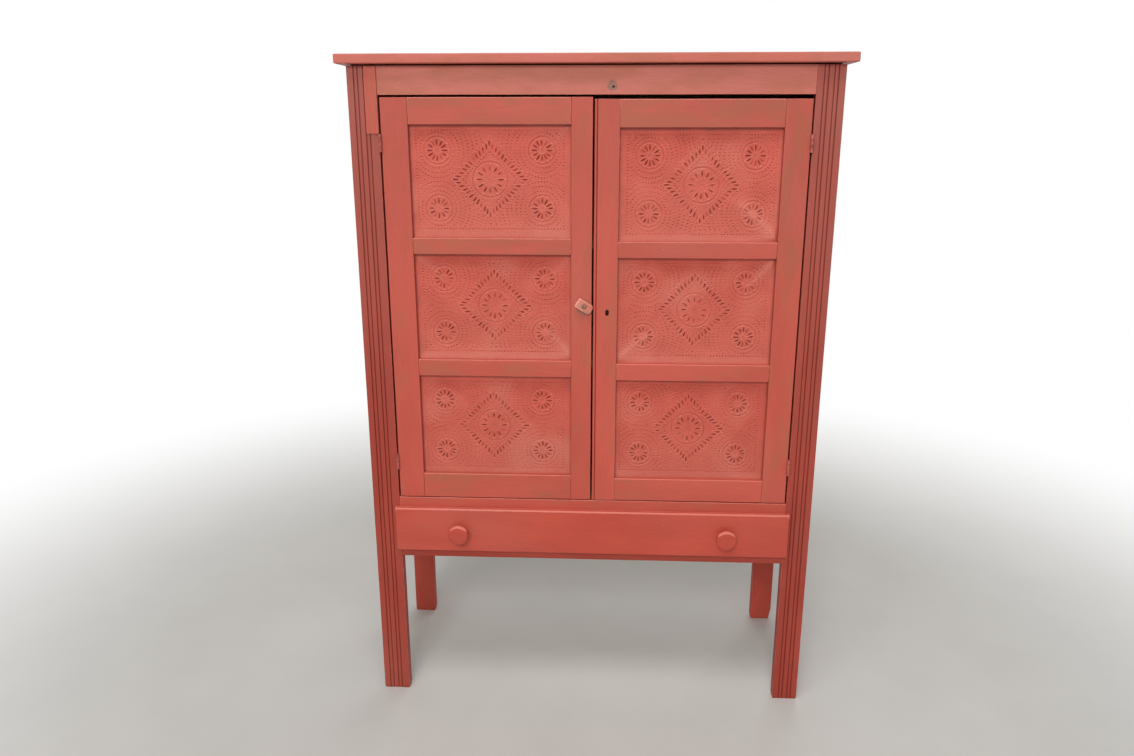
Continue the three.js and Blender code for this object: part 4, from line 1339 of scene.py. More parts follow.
@dataclass
class TinPattern:
    """The punched pattern of one sheet, in millimetres from the middle of its opening."""

    width: float
    height: float
    diamond: float = 73  # from its middle to its points
    slit_half_width: float = 1.65
    slit_half_length: float = 6.2
    diamond_slits: int = 11
    centre_ring: float = 36.5
    corner_ring: float = 27.8
    centre_slits: Pair = (16.5, 29)  # from and to
    corner_slits: Pair = (9.5, 22)
    rosette_slits: int = 12
    corner_share: Pair = (0.325, 0.257)
    dot_radius: float = 1.5
    dot_pitch: float = 6.6
    dot_rows: Pair = (-15, 13)  # from the diamond
    first_arc: float = 8.4  # from its ring
    last_arc: float = 120
    row_pitch: float = 9.6
    border: float = 14.5
    clear_of_ring: float = 4
    clear_of_diamond: float = 19

    @property
    def corners(self) -> list[Pair]:
        """The middles of the four corner rosettes."""
        x, z = self.width * self.corner_share[0], self.height * self.corner_share[1]
        return [(right * x, up * z) for right in (-1, 1) for up in (-1, 1)]

    def on_diamond(self, half: float, quarter: int, share: float) -> Pair:
        """A point along one side of a square on its point.

        Args:
            half: From the square's middle to its points.
            quarter: Which side.
            share: How far along the side.

        Returns:
            The point.
        """
        start = quarter * math.pi / 2
        x = half * ((1 - share) * math.cos(start) - share * math.sin(start))
        return x, half * ((1 - share) * math.sin(start) + share * math.cos(start))

    @cached_property
    def punches(self) -> list[Punch]:
        """Every slit: the diamond's, the centre rosette's and the corner rosettes'."""
        slits = []
        luck = np.random.default_rng(7)
        for quarter in range(4):
            for i in range(self.diamond_slits):
                x, z = self.on_diamond(self.diamond, quarter, i / self.diamond_slits)
                x, z = x + luck.normal(0, 0.5), z + luck.normal(0, 0.5)
                slits.append(Punch((x, z), math.atan2(z, x), self.slit_half_length + luck.normal(0, 0.3)))
        rosettes = [((0, 0), self.centre_slits), *((corner, self.corner_slits) for corner in self.corners)]
        for middle, (inner, outer) in rosettes:
            for i in range(self.rosette_slits):
                way = math.tau * i / self.rosette_slits + luck.normal(0, 0.03)
                radius = (inner + outer) / 2 + luck.normal(0, 0.4)
                at = (middle[0] + radius * math.cos(way), middle[1] + radius * math.sin(way))
                slits.append(Punch(at, way, (outer - inner) / 2))
        return slits

    @property
    def rings(self) -> list[tuple[Pair, float]]:
        """The middle and the radius of each ring that is pressed round a rosette."""
        return [((0.0, 0.0), self.centre_ring), *((corner, self.corner_ring) for corner in self.corners)]

    @cached_property
    def dots(self) -> Array:
        """Every dot: two rows along the diamond, arcs round the corner rosettes, a row inside the border."""
        dots = [(0.0, 0.0)]
        for row in self.dot_rows:
            count = round((self.diamond + row) * math.sqrt(2) / self.dot_pitch)
            for quarter in range(4):
                for i in range(count):
                    x, z = self.on_diamond(self.diamond + row, quarter, (i + 0.5) / count)
                    if math.hypot(x, z) > self.centre_ring + self.clear_of_ring:
                        dots.append((x, z))
        edge_x, edge_z = self.width / 2 - self.border, self.height / 2 - self.border
        inner_x, inner_z = edge_x - self.clear_of_ring, edge_z - self.clear_of_ring
        for corner_x, corner_z in self.corners:
            radius = self.corner_ring + self.first_arc
            while radius < self.last_arc:
                count = round(math.tau * radius / self.dot_pitch)
                for i in range(count):
                    way = math.tau * (i + 0.5 * (count % 2)) / count
                    x, z = corner_x + radius * math.cos(way), corner_z + radius * math.sin(way)
                    own = x * corner_x > 0 and z * corner_z > 0
                    clear = abs(x) + abs(z) > self.diamond + self.clear_of_diamond
                    if own and clear and abs(x) < inner_x and abs(z) < inner_z:
                        dots.append((x, z))
                radius += self.row_pitch
        across, upwards = round(2 * edge_x / self.dot_pitch), round(2 * edge_z / self.dot_pitch)
        for i in range(across + 1):
            x = edge_x * (2 * i / across - 1)
            dots.extend([(x, edge_z), (x, -edge_z)])
        for i in range(1, upwards):
            z = edge_z * (2 * i / upwards - 1)
            dots.extend([(edge_x, z), (-edge_x, z)])
        return np.array(dots)

    def slit_reach(self, x: Array, z: Array) -> tuple[Array, Array]:
        """How near each point lies to a slit, as a share of the slit's own size: 1 is its edge.

        Args:
            x: The points' places across the sheet.
            z: Their places up the sheet.

        Returns:
            The share for the nearest slit, and that slit's number.
        """
        nearest, number = np.full(len(x), NEVER_NEAR), np.zeros(len(x), int)
        for i, punch in enumerate(self.punches):
            dx, dz = x - punch.middle[0], z - punch.middle[1]
            close = np.flatnonzero(np.abs(dx) + np.abs(dz) < 3 * punch.half_length)
            cos, sin = math.cos(punch.way), math.sin(punch.way)
            along = (dx[close] * cos + dz[close] * sin) / punch.half_length
            # The blade is a little wider at the outer end of its cut
            width = self.slit_half_width * (1 + 0.28 * np.clip(along, -1, 1))
            share = np.hypot(along, (dz[close] * cos - dx[close] * sin) / width)
            nearer = close[share < nearest[close]]
            nearest[nearer] = share[share < nearest[close]]
            number[nearer] = i
        return nearest, number

    def dot_reach(self, x: Array, z: Array) -> Array:
        """How far each point lies from the nearest dot, in millimetres.

        Args:
            x: The points' places across the sheet.
            z: Their places up the sheet.

        Returns:
            The distances, no more than twice the rows' pitch.
        """
        nearest = np.full(len(x), 2 * self.row_pitch)
        order = np.argsort(x)
        sorted_x = x[order]
        window = 3 * self.dot_radius
        for dot_x, dot_z in self.dots:
            first, last = np.searchsorted(sorted_x, (dot_x - window, dot_x + window))
            near = order[first:last]
            nearest[near] = np.minimum(nearest[near], np.hypot(x[near] - dot_x, z[near] - dot_z))
        return nearest

    def ring_reach(self, x: Array, z: Array) -> Array:
        """How far each point lies from the nearest ring, in millimetres.

        Args:
            x: The points' places across the sheet.
            z: Their places up the sheet.

        Returns:
            The distances, below zero inside the ring.
        """
        nearest = np.full(len(x), NEVER_NEAR)
        for (ring_x, ring_z), radius in self.rings:
            off = np.hypot(x - ring_x, z - ring_z) - radius
            nearest = np.where(np.abs(off) < np.abs(nearest), off, nearest)
        return nearest

    def relief(self, x: Array, z: Array, seed: float) -> dict[str, Array]:
        """The height that the punches leave, in millimetres, towards the front.

        Args:
            x: The points' places across the sheet.
            z: Their places up the sheet.
            seed: Picks how hard each blow fell.

        Returns:
            The heights of slits, rings and dots, each on its own.
        """
        slit, number = self.slit_reach(x, z)
        luck = np.random.default_rng(int(seed * 10) + 40)
        force = luck.uniform(0.45, 1.15, len(self.punches))[number]
        ring = self.ring_reach(x, z)
        dot = self.dot_reach(x, z) / self.dot_radius
        return {
            "slit": force * (0.6 * np.exp(-((slit - 1.6) / 0.42) ** 2) - 1.9 * np.exp(-1.1 * slit ** 4)),
            "ring": -0.85 * np.exp(-(ring / 1.35) ** 2) + 0.38 * np.exp(-((np.abs(ring) - 3.0) / 1.5) ** 2),
            "dot": -1.3 * np.exp(-1.3 * dot ** 2) + 0.35 * np.exp(-((dot - 1.6) / 0.5) ** 2),
        }


@dataclass(frozen=True)
class Crease:
    """A fold or dent in a sheet, from one point to another, in shares of the opening's half size."""

    start: Pair
    end: Pair
    width: float
    height: float


@dataclass
class PunchedSheet:
    """The sheet with the pattern in it, sized in millimetres, modelled once and copied for each opening."""

    name: str
    pattern: TinPattern
    lap: Pair
    fine_dots: bool = True
    gauge: float = 1.0
    cell: float = 2.6
    piece: Piece = field(init=False)

    def __post_init__(self) -> None:
        """Models the sheet flat, its front at Y zero, with finer faces where it is punched."""
        width = self.pattern.width + 2 * self.lap[0]
        height = self.pattern.height + 2 * self.lap[1]
        bpy.ops.mesh.primitive_grid_add(
            x_subdivisions=round(width / self.cell), y_subdivisions=round(height / self.cell), size=1,
            rotation=(math.pi / 2, 0, 0),
        )
        sheet = bpy.context.active_object
        sheet.scale = (width * MM, height * MM, 1)
        self.piece = settle(sheet, self.name)
        with editing(sheet):
            bpy.ops.mesh.select_all(action="SELECT")
            bpy.ops.mesh.extrude_region_move(TRANSFORM_OT_translate={"value": (0, self.gauge * MM, 0)})
            face_outwards()
        self.refine(3.4, 3.0)
        if self.fine_dots:
            self.refine(2.6, 0.0)

    def refine(self, near: float, near_ring: float) -> None:
        """Halves the faces on the front that lie near a slit, a ring or a dot.

        Args:
            near: How near a dot or a slit.
            near_ring: How near a ring, or 0 to leave the rings as they are.
        """
        mesh = self.piece.data
        centres = np.empty(len(mesh.polygons) * 3, np.float32)
        mesh.polygons.foreach_get("center", centres)
        centres = centres.reshape(-1, 3).astype(float) / MM
        x, z = centres[:, 0], centres[:, 2]
        wanted = self.pattern.dot_reach(x, z) < near
        wanted |= self.pattern.slit_reach(x, z)[0] < 1 + near / 2
        if near_ring:
            wanted |= np.abs(self.pattern.ring_reach(x, z)) < near_ring + near / 2
        wanted &= centres[:, 1] < self.gauge / 4
        for part in (mesh.vertices, mesh.edges, mesh.polygons):
            part.foreach_set("select", np.zeros(len(part), bool))
        mesh.polygons.foreach_set("select", wanted)
        focus(self.piece)
        bpy.ops.object.mode_set(mode="EDIT")
        bpy.ops.mesh.select_mode(type=Pick.FACES.value)
        bpy.ops.mesh.subdivide(number_cuts=1)
        bpy.ops.object.mode_set(mode="OBJECT")


@dataclass
class Tin:
    """One punched tin in its opening, with its own sag, dents and smudges."""

    name: str
    node: str
    body: str
    sheet: PunchedSheet
    middle: Vector
    seed: float
    outwards: Vector = field(default_factory=lambda: Vector((0, -1, 0)))
    across: Vector = field(default_factory=lambda: Vector((1, 0, 0)))
    stretch: float = 1.0
    off_centre: Pair = (0.0, 0.0)  # millimetres right and up
    sag: float = 0.9
    dish: float = 2.0  # how far the middle has been pushed in, in millimetres
    creases: tuple[Crease, ...] = ()

    @property
    def pattern(self) -> TinPattern:
        """The pattern that is punched in it."""
        return self.sheet.pattern

    def build(self) -> None:
        """Copies the sheet, presses the pattern into it and sets it in its opening."""
        tin = duplicate(self.sheet.piece, self.name)
        flat = positions(tin) / MM
        x, z = flat[:, 0], flat[:, 2]
        relief = self.pattern.relief(x, z, self.seed)
        gentle = 0.85 + 0.3 * waves(x, z, 150, self.seed)
        dots = np.clip(0.75 + 0.6 * waves(x, z, 90, self.seed + 2), 0.3, 1.15)
        rings = np.clip(0.8 + 0.5 * waves(x, z, 120, self.seed + 5), 0.25, 1.2)
        punched = gentle * relief["slit"] + rings * relief["ring"] + dots * relief["dot"]
        front = flat[:, 1] < self.sheet.gauge / 2
        inside = smooth(self.from_frame(x, z), 0, 22)
        folds = smooth(self.from_frame(x, z), 0, 9) * self.dented(x, z)
        height = self.sag * inside * waves(x, z, 170, self.seed + 1) + folds - self.dished(x, z)
        depth = np.where(front, punched, 0.45 * np.maximum(punched, -1.2))
        rise = (height + depth) * MM
        foot = smooth(-z - self.pattern.height / 2, -16, -10)
        note(
            tin, sheet=np.stack([x, z, flat[:, 1]], 1) * MM,
            seed=np.tile([self.seed, self.seed * 0.7, 0], (len(x), 1)),
            # The folds also take the pale burr colour: a painted highlight
            relief=punched + 0.18 * np.clip(folds, 0, 4),
            smudge=self.smudged(x, z),
            gathered=self.gathered(x, z),
            # A painted highlight: paler low on the sheet, along its foot and on its folds, where the light
            # from above falls
            fade=0.5 - z / self.pattern.height + 0.4 * np.clip(folds, 0, 3) + 0.5 * foot,
        )
        up = Vector((0, 0, 1))
        out = np.outer(rise - flat[:, 1] * MM, self.outwards)
        right, high = x + self.off_centre[0] * inside, z + self.off_centre[1] * inside
        places = np.outer(right * self.stretch * MM, self.across) + np.outer(high * MM, up) + out
        move_to(tin, places + np.array(self.middle))
        if self.across.cross(up).dot(self.outwards) < 0:
            with editing(tin):
                face_outwards()
        focus(tin)
        bpy.ops.object.shade_smooth_by_angle(angle=math.radians(70))
        hang(tin, self.body, Finish.PAINTED_TIN, (self.node,))

    def from_frame(self, x: Array, z: Array) -> Array:
        """How far each point lies inside the opening, in millimetres."""
        return np.minimum(self.pattern.width / 2 - np.abs(x), self.pattern.height / 2 - np.abs(z))

    def dished(self, x: Array, z: Array) -> Array:
        """How far each point is pushed in: it slopes in from the frame, with a fold out to each corner."""
        slope = np.clip(self.from_frame(x, z) / 32, 0, 1)
        return self.dish * (1 + 0.3 * waves(x, z, 260, self.seed + 4)) * (1 - (1 - slope) ** 1.6)

    def dented(self, x: Array, z: Array) -> Array:
        """The height of the sheet's folds and dents.

        Args:
            x: The points' places across the sheet.
            z: Their places up the sheet.

        Returns:
            The height at each point, in millimetres.
        """
        height = np.zeros_like(x)
        half = np.array([self.pattern.width, self.pattern.height]) / 2
        for crease in self.creases:
            start, end = np.array(crease.start) * half, np.array(crease.end) * half
            way = end - start
            share = np.clip(((x - start[0]) * way[0] + (z - start[1]) * way[1]) / way.dot(way), 0, 1)
            off = np.hypot(x - start[0] - share * way[0], z - start[1] - share * way[1])
            fade = 1 - 0.6 * share
            height += crease.height * fade * np.exp(-(off / crease.width) ** 1.15)
        return height

    def gathered(self, x: Array, z: Array) -> Array:
        """How much painted shade lies at each point, in the corner that the frame makes with the sheet."""
        side, top = np.abs(x) - self.pattern.width / 2, z - self.pattern.height / 2
        near = np.maximum(0.8 * smooth(side, -4.5, 0), smooth(top, -7, 0))
        return near * (0.8 + 0.2 * waves(x, z, 60, self.seed + 3))

    def smudged(self, x: Array, z: Array) -> Array:
        """How sooty each point is, most near the top and the sides of the opening."""
        side, top = np.abs(x) - self.pattern.width / 2, z - self.pattern.height / 2
        near = np.maximum(0.9 * smooth(side, -34, 2), smooth(top, -30, 4))
        return near * (0.6 + 0.4 * waves(x, z, 80, self.seed))


# Doors


@dataclass
class Door:
    """One door: a frame of two stiles and four rails round three punched tins."""

    side: Side
    recess: float = 12 * MM  # from the face to the rebate that the tins lie in
    bead_width: float = 5.8 * MM
    bead_height: float = 3 * MM
    bead_quirk: float = 1.4 * MM
    bead_steps: int = 10
    key_inset: float = 29.8 * MM  # from the meeting edge
    key_radius: float = 4 * MM
    key_foot: float = 3.8 * MM  # the radius of its lower end
    key_height: float = 14 * MM
    # radius of the worn and grimy patch round the turn button, which also holds the button's painted shadow
    button_scar: float = 17 * MM
    outer: Box = field(init=False)
    meeting: Box = field(init=False)

    def __post_init__(self) -> None:
        """Reads the stiles' places from the frame."""
        self.outer = Box.of(f"door_{self.side}_stile_outer")
        self.meeting = Box.of(f"door_{self.side}_stile_meeting")

    @property
    def body(self) -> str:
        """The body that carries the door."""
        return f"door_{self.side}"

    @property
    def stains(self) -> dict[str, float]:
        """How stained each board of the door is."""
        if self.side is Side.LEFT:
            return {"outer": 0.3, "meeting": 0.4, "top": 0.7, "upper": 0.75, "lower": 0.5, "bottom": 0.5}
        return {"outer": 0.55, "meeting": 0.4, "top": 0.85, "upper": 0.35, "lower": 0.35, "bottom": 0.4}

    @property
    def stiles(self) -> tuple[Box, Box]:
        """The stiles from left to right."""
        return (self.outer, self.meeting) if self.side is Side.LEFT else (self.meeting, self.outer)

    @property
    def sight(self) -> Pair:
        """The inner edges of the stiles."""
        return self.stiles[0].high.x, self.stiles[1].low.x

    @property
    def key_x(self) -> float:
        """Where the keyhole lies across the right door's meeting stile."""
        return self.meeting.low.x + self.key_inset

    def build(self, sheet: PunchedSheet) -> None:
        """Builds the door.

        Args:
            sheet: The punched sheet that its tins are copied from.
        """
        lap = self.sight[0] - Box.of(f"door_{self.side}_tin_top").low.x + FIT
        self.stile(self.outer, "outer", lap)
        self.stile(self.meeting, "meeting", lap)
        for level in ("top", "upper", "lower", "bottom"):
            self.rail(level, lap)
        for level, creases in self.creases().items():
            self.tin(level, sheet, creases)

    def stile(self, box: Box, which: str, lap: float) -> None:
        """A stile, rebated behind for the tins.

        Args:
            box: Its box.
            which: Outer or meeting.
            lap: How wide the rebate is.
        """
        to_sight = 1 if box.high.x <= self.sight[0] + FIT else -1
        line = box.high.x - lap if to_sight > 0 else box.low.x + lap
        beaded = self.side is Side.RIGHT and which == "meeting"
        scar = None
        if self.side is Side.LEFT and which == "meeting":
            button = Box.of("turn_button")
            # The patch sits a little below the button: worn paint with the button's painted shadow
            scar = button.middle + Vector((MM, 0, -5 * MM)), self.button_scar

        def rebate(piece: Piece) -> None:
            """Draws the thicker part of the stile back from the face."""
            cut_rings(piece, 0, [line])
            back = Vector((0, box.size.y - self.recess, 0))
            pull(piece, lambda f: f.normal.y > 0.5 and (f.calc_center_median().x - line) * to_sight < 0, back)
            if beaded:
                self.bead(piece, box)
                self.keyhole(piece)

        def dirt(places: Array) -> Array:
            """Depth in the bead's quirk, drawn as grime and painted shade, and in the keyhole, as painted
            shade.
            """
            below = places[:, 1] - box.low.y
            near = places[:, 0] < box.low.x + self.bead_width + self.bead_quirk
            quirk = np.where(near & (below < 4 * MM), smooth(below, MM, self.bead_height), 0)
            at_key = np.abs(places[:, 0] - self.key_x) < 7 * MM
            at_key &= np.abs(places[:, 2] - Box.of("lock_bolt").middle.z) < 9 * MM
            return np.where(at_key, 1.5 * smooth(below, 0.5 * MM, 1.1 * MM), quirk)

        Board(
            f"{self.side}_stile_{which}", box.span(1, high=box.low.y + self.recess), Grain.UPRIGHT,
            (f"door_{self.side}_stile_{which}",), self.body, wear=0.6, grime=self.stains[which], fading=0.3,
            bloom=0.5, ageing=0.12, tone=1.07 if beaded else 1.04, scar=scar, shape=rebate,
            hollow=dirt if beaded else None,
        ).build()

    def bead(self, piece: Piece, box: Box) -> None:
        """Scratches a bead along the meeting edge.

        Args:
            piece: The stile.
            box: Its box.
        """
        half = self.bead_width / 2
        lines = half_round(box.low.x + half, half, self.bead_height, self.bead_steps)
        scratch(piece, box, [*lines, (box.low.x + self.bead_width + self.bead_quirk, 0.0)])

    def keyhole(self, piece: Piece) -> None:
        """Cuts the keyhole through the meeting stile.

        Args:
            piece: The stile.
        """
        case, bolt = Box.of("lock_case"), Box.of("lock_bolt")
        radius, foot, height = self.key_radius, self.key_foot, self.key_height
        front, back = self.meeting.low.y - 2 * MM, case.low.y
        eye, sole = bolt.middle.z + (height / 2 - radius), bolt.middle.z - (height / 2 - foot)
        round_part = drum("eye", radius, Vector((self.key_x, front, eye)), Vector((self.key_x, back, eye)))
        start, end = Vector((self.key_x, front - MM, sole)), Vector((self.key_x, back - MM, sole))
        foot_part = drum("foot", foot, start, end)
        low = Vector((self.key_x - foot, front - 2 * MM, sole))
        high = Vector((self.key_x + foot, back - 2 * MM, eye))
        carve(piece, round_part, foot_part, block("slot", Box(low, high)))

    def rail(self, level: str, lap: float) -> None:
        """A rail between the stiles, rebated where a tin lies behind it.

        Args:
            level: Which rail.
            lap: How wide the rebates at the stiles are.
        """
        node = f"door_{self.side}_rail_{level}"
        full = Box.of(node)
        tins = [Box.of(f"door_{self.side}_tin_{place}") for place in ("top", "middle", "bottom")]
        box = full.span(0, self.sight[0] + FIT, self.sight[1] - FIT).span(1, high=full.low.y + self.recess)
        above = [tin.low.z - FIT for tin in tins if full.low.z < tin.low.z < full.high.z]
        below = [tin.high.z + FIT for tin in tins if full.low.z < tin.high.z < full.high.z]
        low, high = (below or [full.low.z])[0], (above or [full.high.z])[0]
        depth = full.size.y - self.recess

        def rebates(piece: Piece) -> None:
            """Draws the rail's back out behind the tins' laps, and sideways into the stiles' rebates."""
            cut_rings(piece, 2, above + below)

            def is_back(face: Any) -> bool:
                """Whether this part of the back stands behind the laps."""
                return face.normal.y > 0.5 and low < face.calc_center_median().z < high

            pull(piece, is_back, Vector((0, depth, 0)))
            behind = box.high.y + 2 * FIT
            for sign in (-1, 1):
                out = Vector((sign * (lap - FIT), 0, 0))
                pull(piece, lambda f: f.normal.x * sign > 0.5 and f.calc_center_median().y > behind, out)

        Board(
            f"{self.side}_rail_{level}", box, Grain.LEVEL, (node,), self.body, wear=0.75,
            grime=self.stains[level], tone=0.99 if node == "door_left_rail_bottom" else 1.07, fading=0.2,
            bloom=0.7, ageing=0.14, top_rub=1.2, shape=rebates,
        ).build()

    def creases(self) -> dict[str, tuple[Crease, ...]]:
        """The dents of each tin, from the top down."""
        if self.side is Side.LEFT:
            return {
                "top": (Crease((0.98, -0.5), (0.7, 0.1), 16, -1.2), Crease((0.97, 0.95), (0.8, 0.6), 9, 1.6)),
                "middle": (
                    Crease((0.97, -0.93), (0.68, -0.5), 12, 3.0),
                    Crease((-0.97, 0.93), (-0.72, 0.6), 12, 2.4),
                    Crease((0.97, 0.93), (0.72, 0.55), 12, 2.0),
                ),
                "bottom": (Crease((-0.95, 0.9), (-0.75, 0.6), 14, 1.0),),
            }
        return {
            "top": (
                Crease((0.98, -0.95), (0.5, -0.35), 11, 5.2), Crease((0.5, -0.95), (0.35, -0.7), 16, -1.4),
            ),
            "middle": (
                Crease((0.97, 0.93), (0.68, 0.4), 12, 3.6), Crease((-0.97, -0.93), (-0.6, -0.5), 12, 4.0),
            ),
            "bottom": (Crease((0.9, -0.9), (0.6, -0.7), 18, -0.9),),
        }

    def tin(self, level: str, sheet: PunchedSheet, creases: tuple[Crease, ...]) -> None:
        """Sets a punched tin behind an opening.

        Args:
            level: Which opening.
            sheet: The punched sheet.
            creases: The tin's dents.
        """
        node = f"door_{self.side}_tin_{level}"
        box = Box.of(node)
        face = self.outer.low.y + self.recess + FIT
        seed = {"top": 1.7, "middle": 4.1, "bottom": 6.6}[level] + (3.3 if self.side is Side.RIGHT else 0)
        off_centre, dish = {
            Side.LEFT: {
                "top": ((-2.1, 4.3), 2.2), "middle": ((2.1, 2.1), 4.6), "bottom": ((-5.5, -2.1), 1.4),
            },
            Side.RIGHT: {
                "top": ((5.5, 0.0), 3.0), "middle": ((0.0, 2.1), 4.4), "bottom": ((-4.3, 2.1), 1.2),
            },
        }[self.side][level]
        width = (sheet.pattern.width + 2 * sheet.lap[0]) * MM
        Tin(
            f"{self.side}_tin_{level}", node, self.body, sheet, Vector((box.middle.x, face, box.middle.z)),
            seed, stretch=box.size.x / width, off_centre=off_centre, dish=dish, creases=creases,
        ).build()


@dataclass
class SideTins:
    """The punched tins of one side of the case, one behind each opening."""

    side: Side
    recess: float = 1.6 * MM

    def build(self, sheet: PunchedSheet) -> None:
        """Builds the three tins.

        Args:
            sheet: The punched sheet that they are copied from.
        """
        node = f"side_{self.side}_tins"
        box = Box.of(node)
        sign = self.side.value
        face = box.high.x - self.recess if self.side is Side.RIGHT else box.low.x + self.recess
        for index, level in enumerate(("top", "middle", "bottom")):
            middle = Box.of(f"door_left_tin_{level}").middle.z
            Tin(
                f"side_{self.side}_tin_{level}", node, "case", sheet, Vector((face, box.middle.y, middle)),
                8.3 + 1.9 * index + sign, outwards=Vector((sign, 0, 0)), across=Vector((0, sign, 0)),
                sag=0.6, dish=0.4,
            ).build()


# Ironwork


@dataclass
class ButtHinge:
    """A small iron butt: two leaves in the gap and three knuckles that show."""

    side: Side
    level: str
    radius: float = 3.5 * MM
    pin_radius: float = 1.9 * MM
    leaf: float = 1.2 * MM

    def build(self) -> None:
        """Builds the post's leaf with its two knuckles, and the door's leaf with one."""
        away = self.side.value
        stem = f"hinge_{self.side}_{self.level}"
        post, door = Box.of(f"{stem}_post_leaf"), Box.of(f"{stem}_door_leaf")
        axis = pivot(f"door_{self.side}")
        third = post.size.z / 3
        fixed = [
            self.knuckle(axis, post.low.z, post.low.z + third),
            self.knuckle(axis, post.high.z - third, post.high.z),
            self.plate(post, axis, away),
            self.pin(axis, post.low.z, post.high.z),
        ]
        name = f"{self.side}_{self.level}_butt_on"
        hang(join(f"{name}_post", *fixed), "case", Finish.PAINTED_IRON, (f"{stem}_post_leaf",))
        knuckle = self.knuckle(axis, post.low.z + third + FIT, post.high.z - third - FIT)
        swinging = join(f"{name}_door", knuckle, self.plate(door, axis, -away))
        hang(swinging, f"door_{self.side}", Finish.PAINTED_IRON, (f"{stem}_door_leaf",))

    def knuckle(self, axis: Vector, low: float, high: float) -> Piece:
        """One knuckle round the pin, its ends eased.

        Args:
            axis: The pin's place in plan.
            low: Where the knuckle starts.
            high: Where it ends.

        Returns:
            The knuckle.
        """
        start, end = Vector((axis.x, axis.y, low)), Vector((axis.x, axis.y, high))
        knuckle = drum("knuckle", self.radius, start, end, 28)
        soften(knuckle, 0.5 * MM, angle=60)
        return knuckle

    def pin(self, axis: Vector, low: float, high: float) -> Piece:
        """The pin, its heads just inside the knuckles' ends."""
        start, end = Vector((axis.x, axis.y, low + 0.1 * MM)), Vector((axis.x, axis.y, high - 0.1 * MM))
        pin = drum("pin", self.pin_radius, start, end, 20)
        soften(pin, 0.3 * MM, angle=60)
        return pin

    def plate(self, box: Box, axis: Vector, away: int) -> Piece:
        """A leaf, from the barrel back into the gap.

        Args:
            box: The box of its node.
            axis: The pin's place in plan.
            away: -1 or 1, the side of the pin that the leaf lies on.

        Returns:
            The leaf.
        """
        near = axis.x + away * 1.4 * MM
        faces = sorted((near, near - away * self.leaf))
        low = Vector((faces[0], axis.y + self.radius * 0.7, box.low.z))
        plate = block("leaf", Box(low, Vector((faces[1], box.high.y, box.high.z))))
        soften(plate, 0.25 * MM, segments=1)
        return plate


@dataclass
class TurnButton:
    """The wooden turn button that holds the doors shut, and its screw."""

    length: float = 37 * MM
    width: float = 22 * MM
    thickness: float = 10 * MM
    corner: float = 7 * MM
    square_corner: float = 3.2 * MM  # at the end away from the doors' gap
    tilt: float = math.radians(-32)
    hollow: float = 1.3 * MM  # how much lower its front is at the ends
    sink: float = 3 * MM
    screw_radius: float = 5 * MM
    shank: float = 2.2 * MM
    slot: Pair = (1.3 * MM, 1.1 * MM)  # width and depth

    def build(self) -> None:
        """Builds the button and the screw that it turns on."""
        front = pivot("turn_button")
        front.y = Box.of("turn_button").low.y
        hang(self.button(front), "turn_button", Finish.RUBBED_WOOD, ("turn_button",))
        hang(self.screw(front), "door_left", Finish.WORN_STEEL, ("turn_button_screw",))

    def button(self, front: Vector) -> Piece:
        """The button, whittled round at its corners and dished for the screw's head.

        Args:
            front: The middle of its front face.

        Returns:
            The button.
        """
        half = Vector((self.length, self.thickness, self.width)) / 2
        box = Box(-half, half)
        piece = block("oak_turn_button", box)
        for sign, radius in ((1, self.corner), (-1, self.square_corner)):

            def at_corner(edge: Any) -> bool:
                """Whether this is an upright edge at that end."""
                first, second = (corner.co for corner in edge.verts)
                return abs(first.y - second.y) > half.y and first.x * sign > half.x * 0.99

            with editing(piece):
                pick(piece, Pick.EDGES, at_corner)
                bpy.ops.mesh.bevel(offset=radius, segments=5)
        cut_rings(piece, 0, [-0.5 * half.x, 0.5 * half.x])
        places = positions(piece)
        ends = np.abs(places[:, 0]) / half.x
        places[:, 1] = np.where(places[:, 1] < 0, places[:, 1] + self.hollow * ends ** 2, places[:, 1])
        move_to(piece, places)
        start, end = Vector((0, -half.y - MM, 0)), Vector((0, self.sink - half.y, 0))
        carve(piece, drum("sink", self.screw_radius + FIT, start, end))
        soften(piece, 1.5 * MM, segments=3, angle=50)

        def thumbed(places: Array) -> Array:
            """How worn the end is that the thumb turns."""
            return 3 * smooth(-places[:, 0] / half.x, 0.3, 0.9)

        board = Board("oak_turn_button", box, Grain.LEVEL, (), wear=1.9, grime=0.9, tone=1.1, handled=thumbed)
        board.mark(piece)
        piece.rotation_euler = (0, -self.tilt, 0)
        piece.location = front + Vector((0, half.y, 0))
        return settle(piece, "oak_turn_button")

    def screw(self, front: Vector) -> Piece:
        """The screw: a low round head with a worn slot, and its shank.

        Args:
            front: The middle of the button's front face.

        Returns:
            The screw.
        """
        radius = self.screw_radius
        profile = [
            (self.shank, -24 * MM), (self.shank, -3 * MM), (radius, -2.7 * MM), (radius, -0.9 * MM),
            (radius * 0.93, -0.45 * MM), (radius * 0.7, -0.15 * MM), (radius * 0.35, -0.02 * MM),
            (0.3 * MM, 0),
        ]
        screw = turned("turn_button_wood_screw", profile, front, 36)
        half = Vector((radius * 1.2, self.slot[1], self.slot[0] / 2))
        carve(screw, block("slot", Box(front - half, front + half)))
        return screw


@dataclass
class Lock:
    """The lock behind the keyhole: its sheet iron case and its bolt."""

    def build(self) -> None:
        """Builds the case and the bolt from the frame's own shapes."""
        for node, body in (("lock_case", "door_right"), ("lock_bolt", "lock_bolt")):
            hang(eased_copy(f"rim_{node}", node, 0.5 * MM), body, Finish.DARK_IRON, (node,))


# Drawer


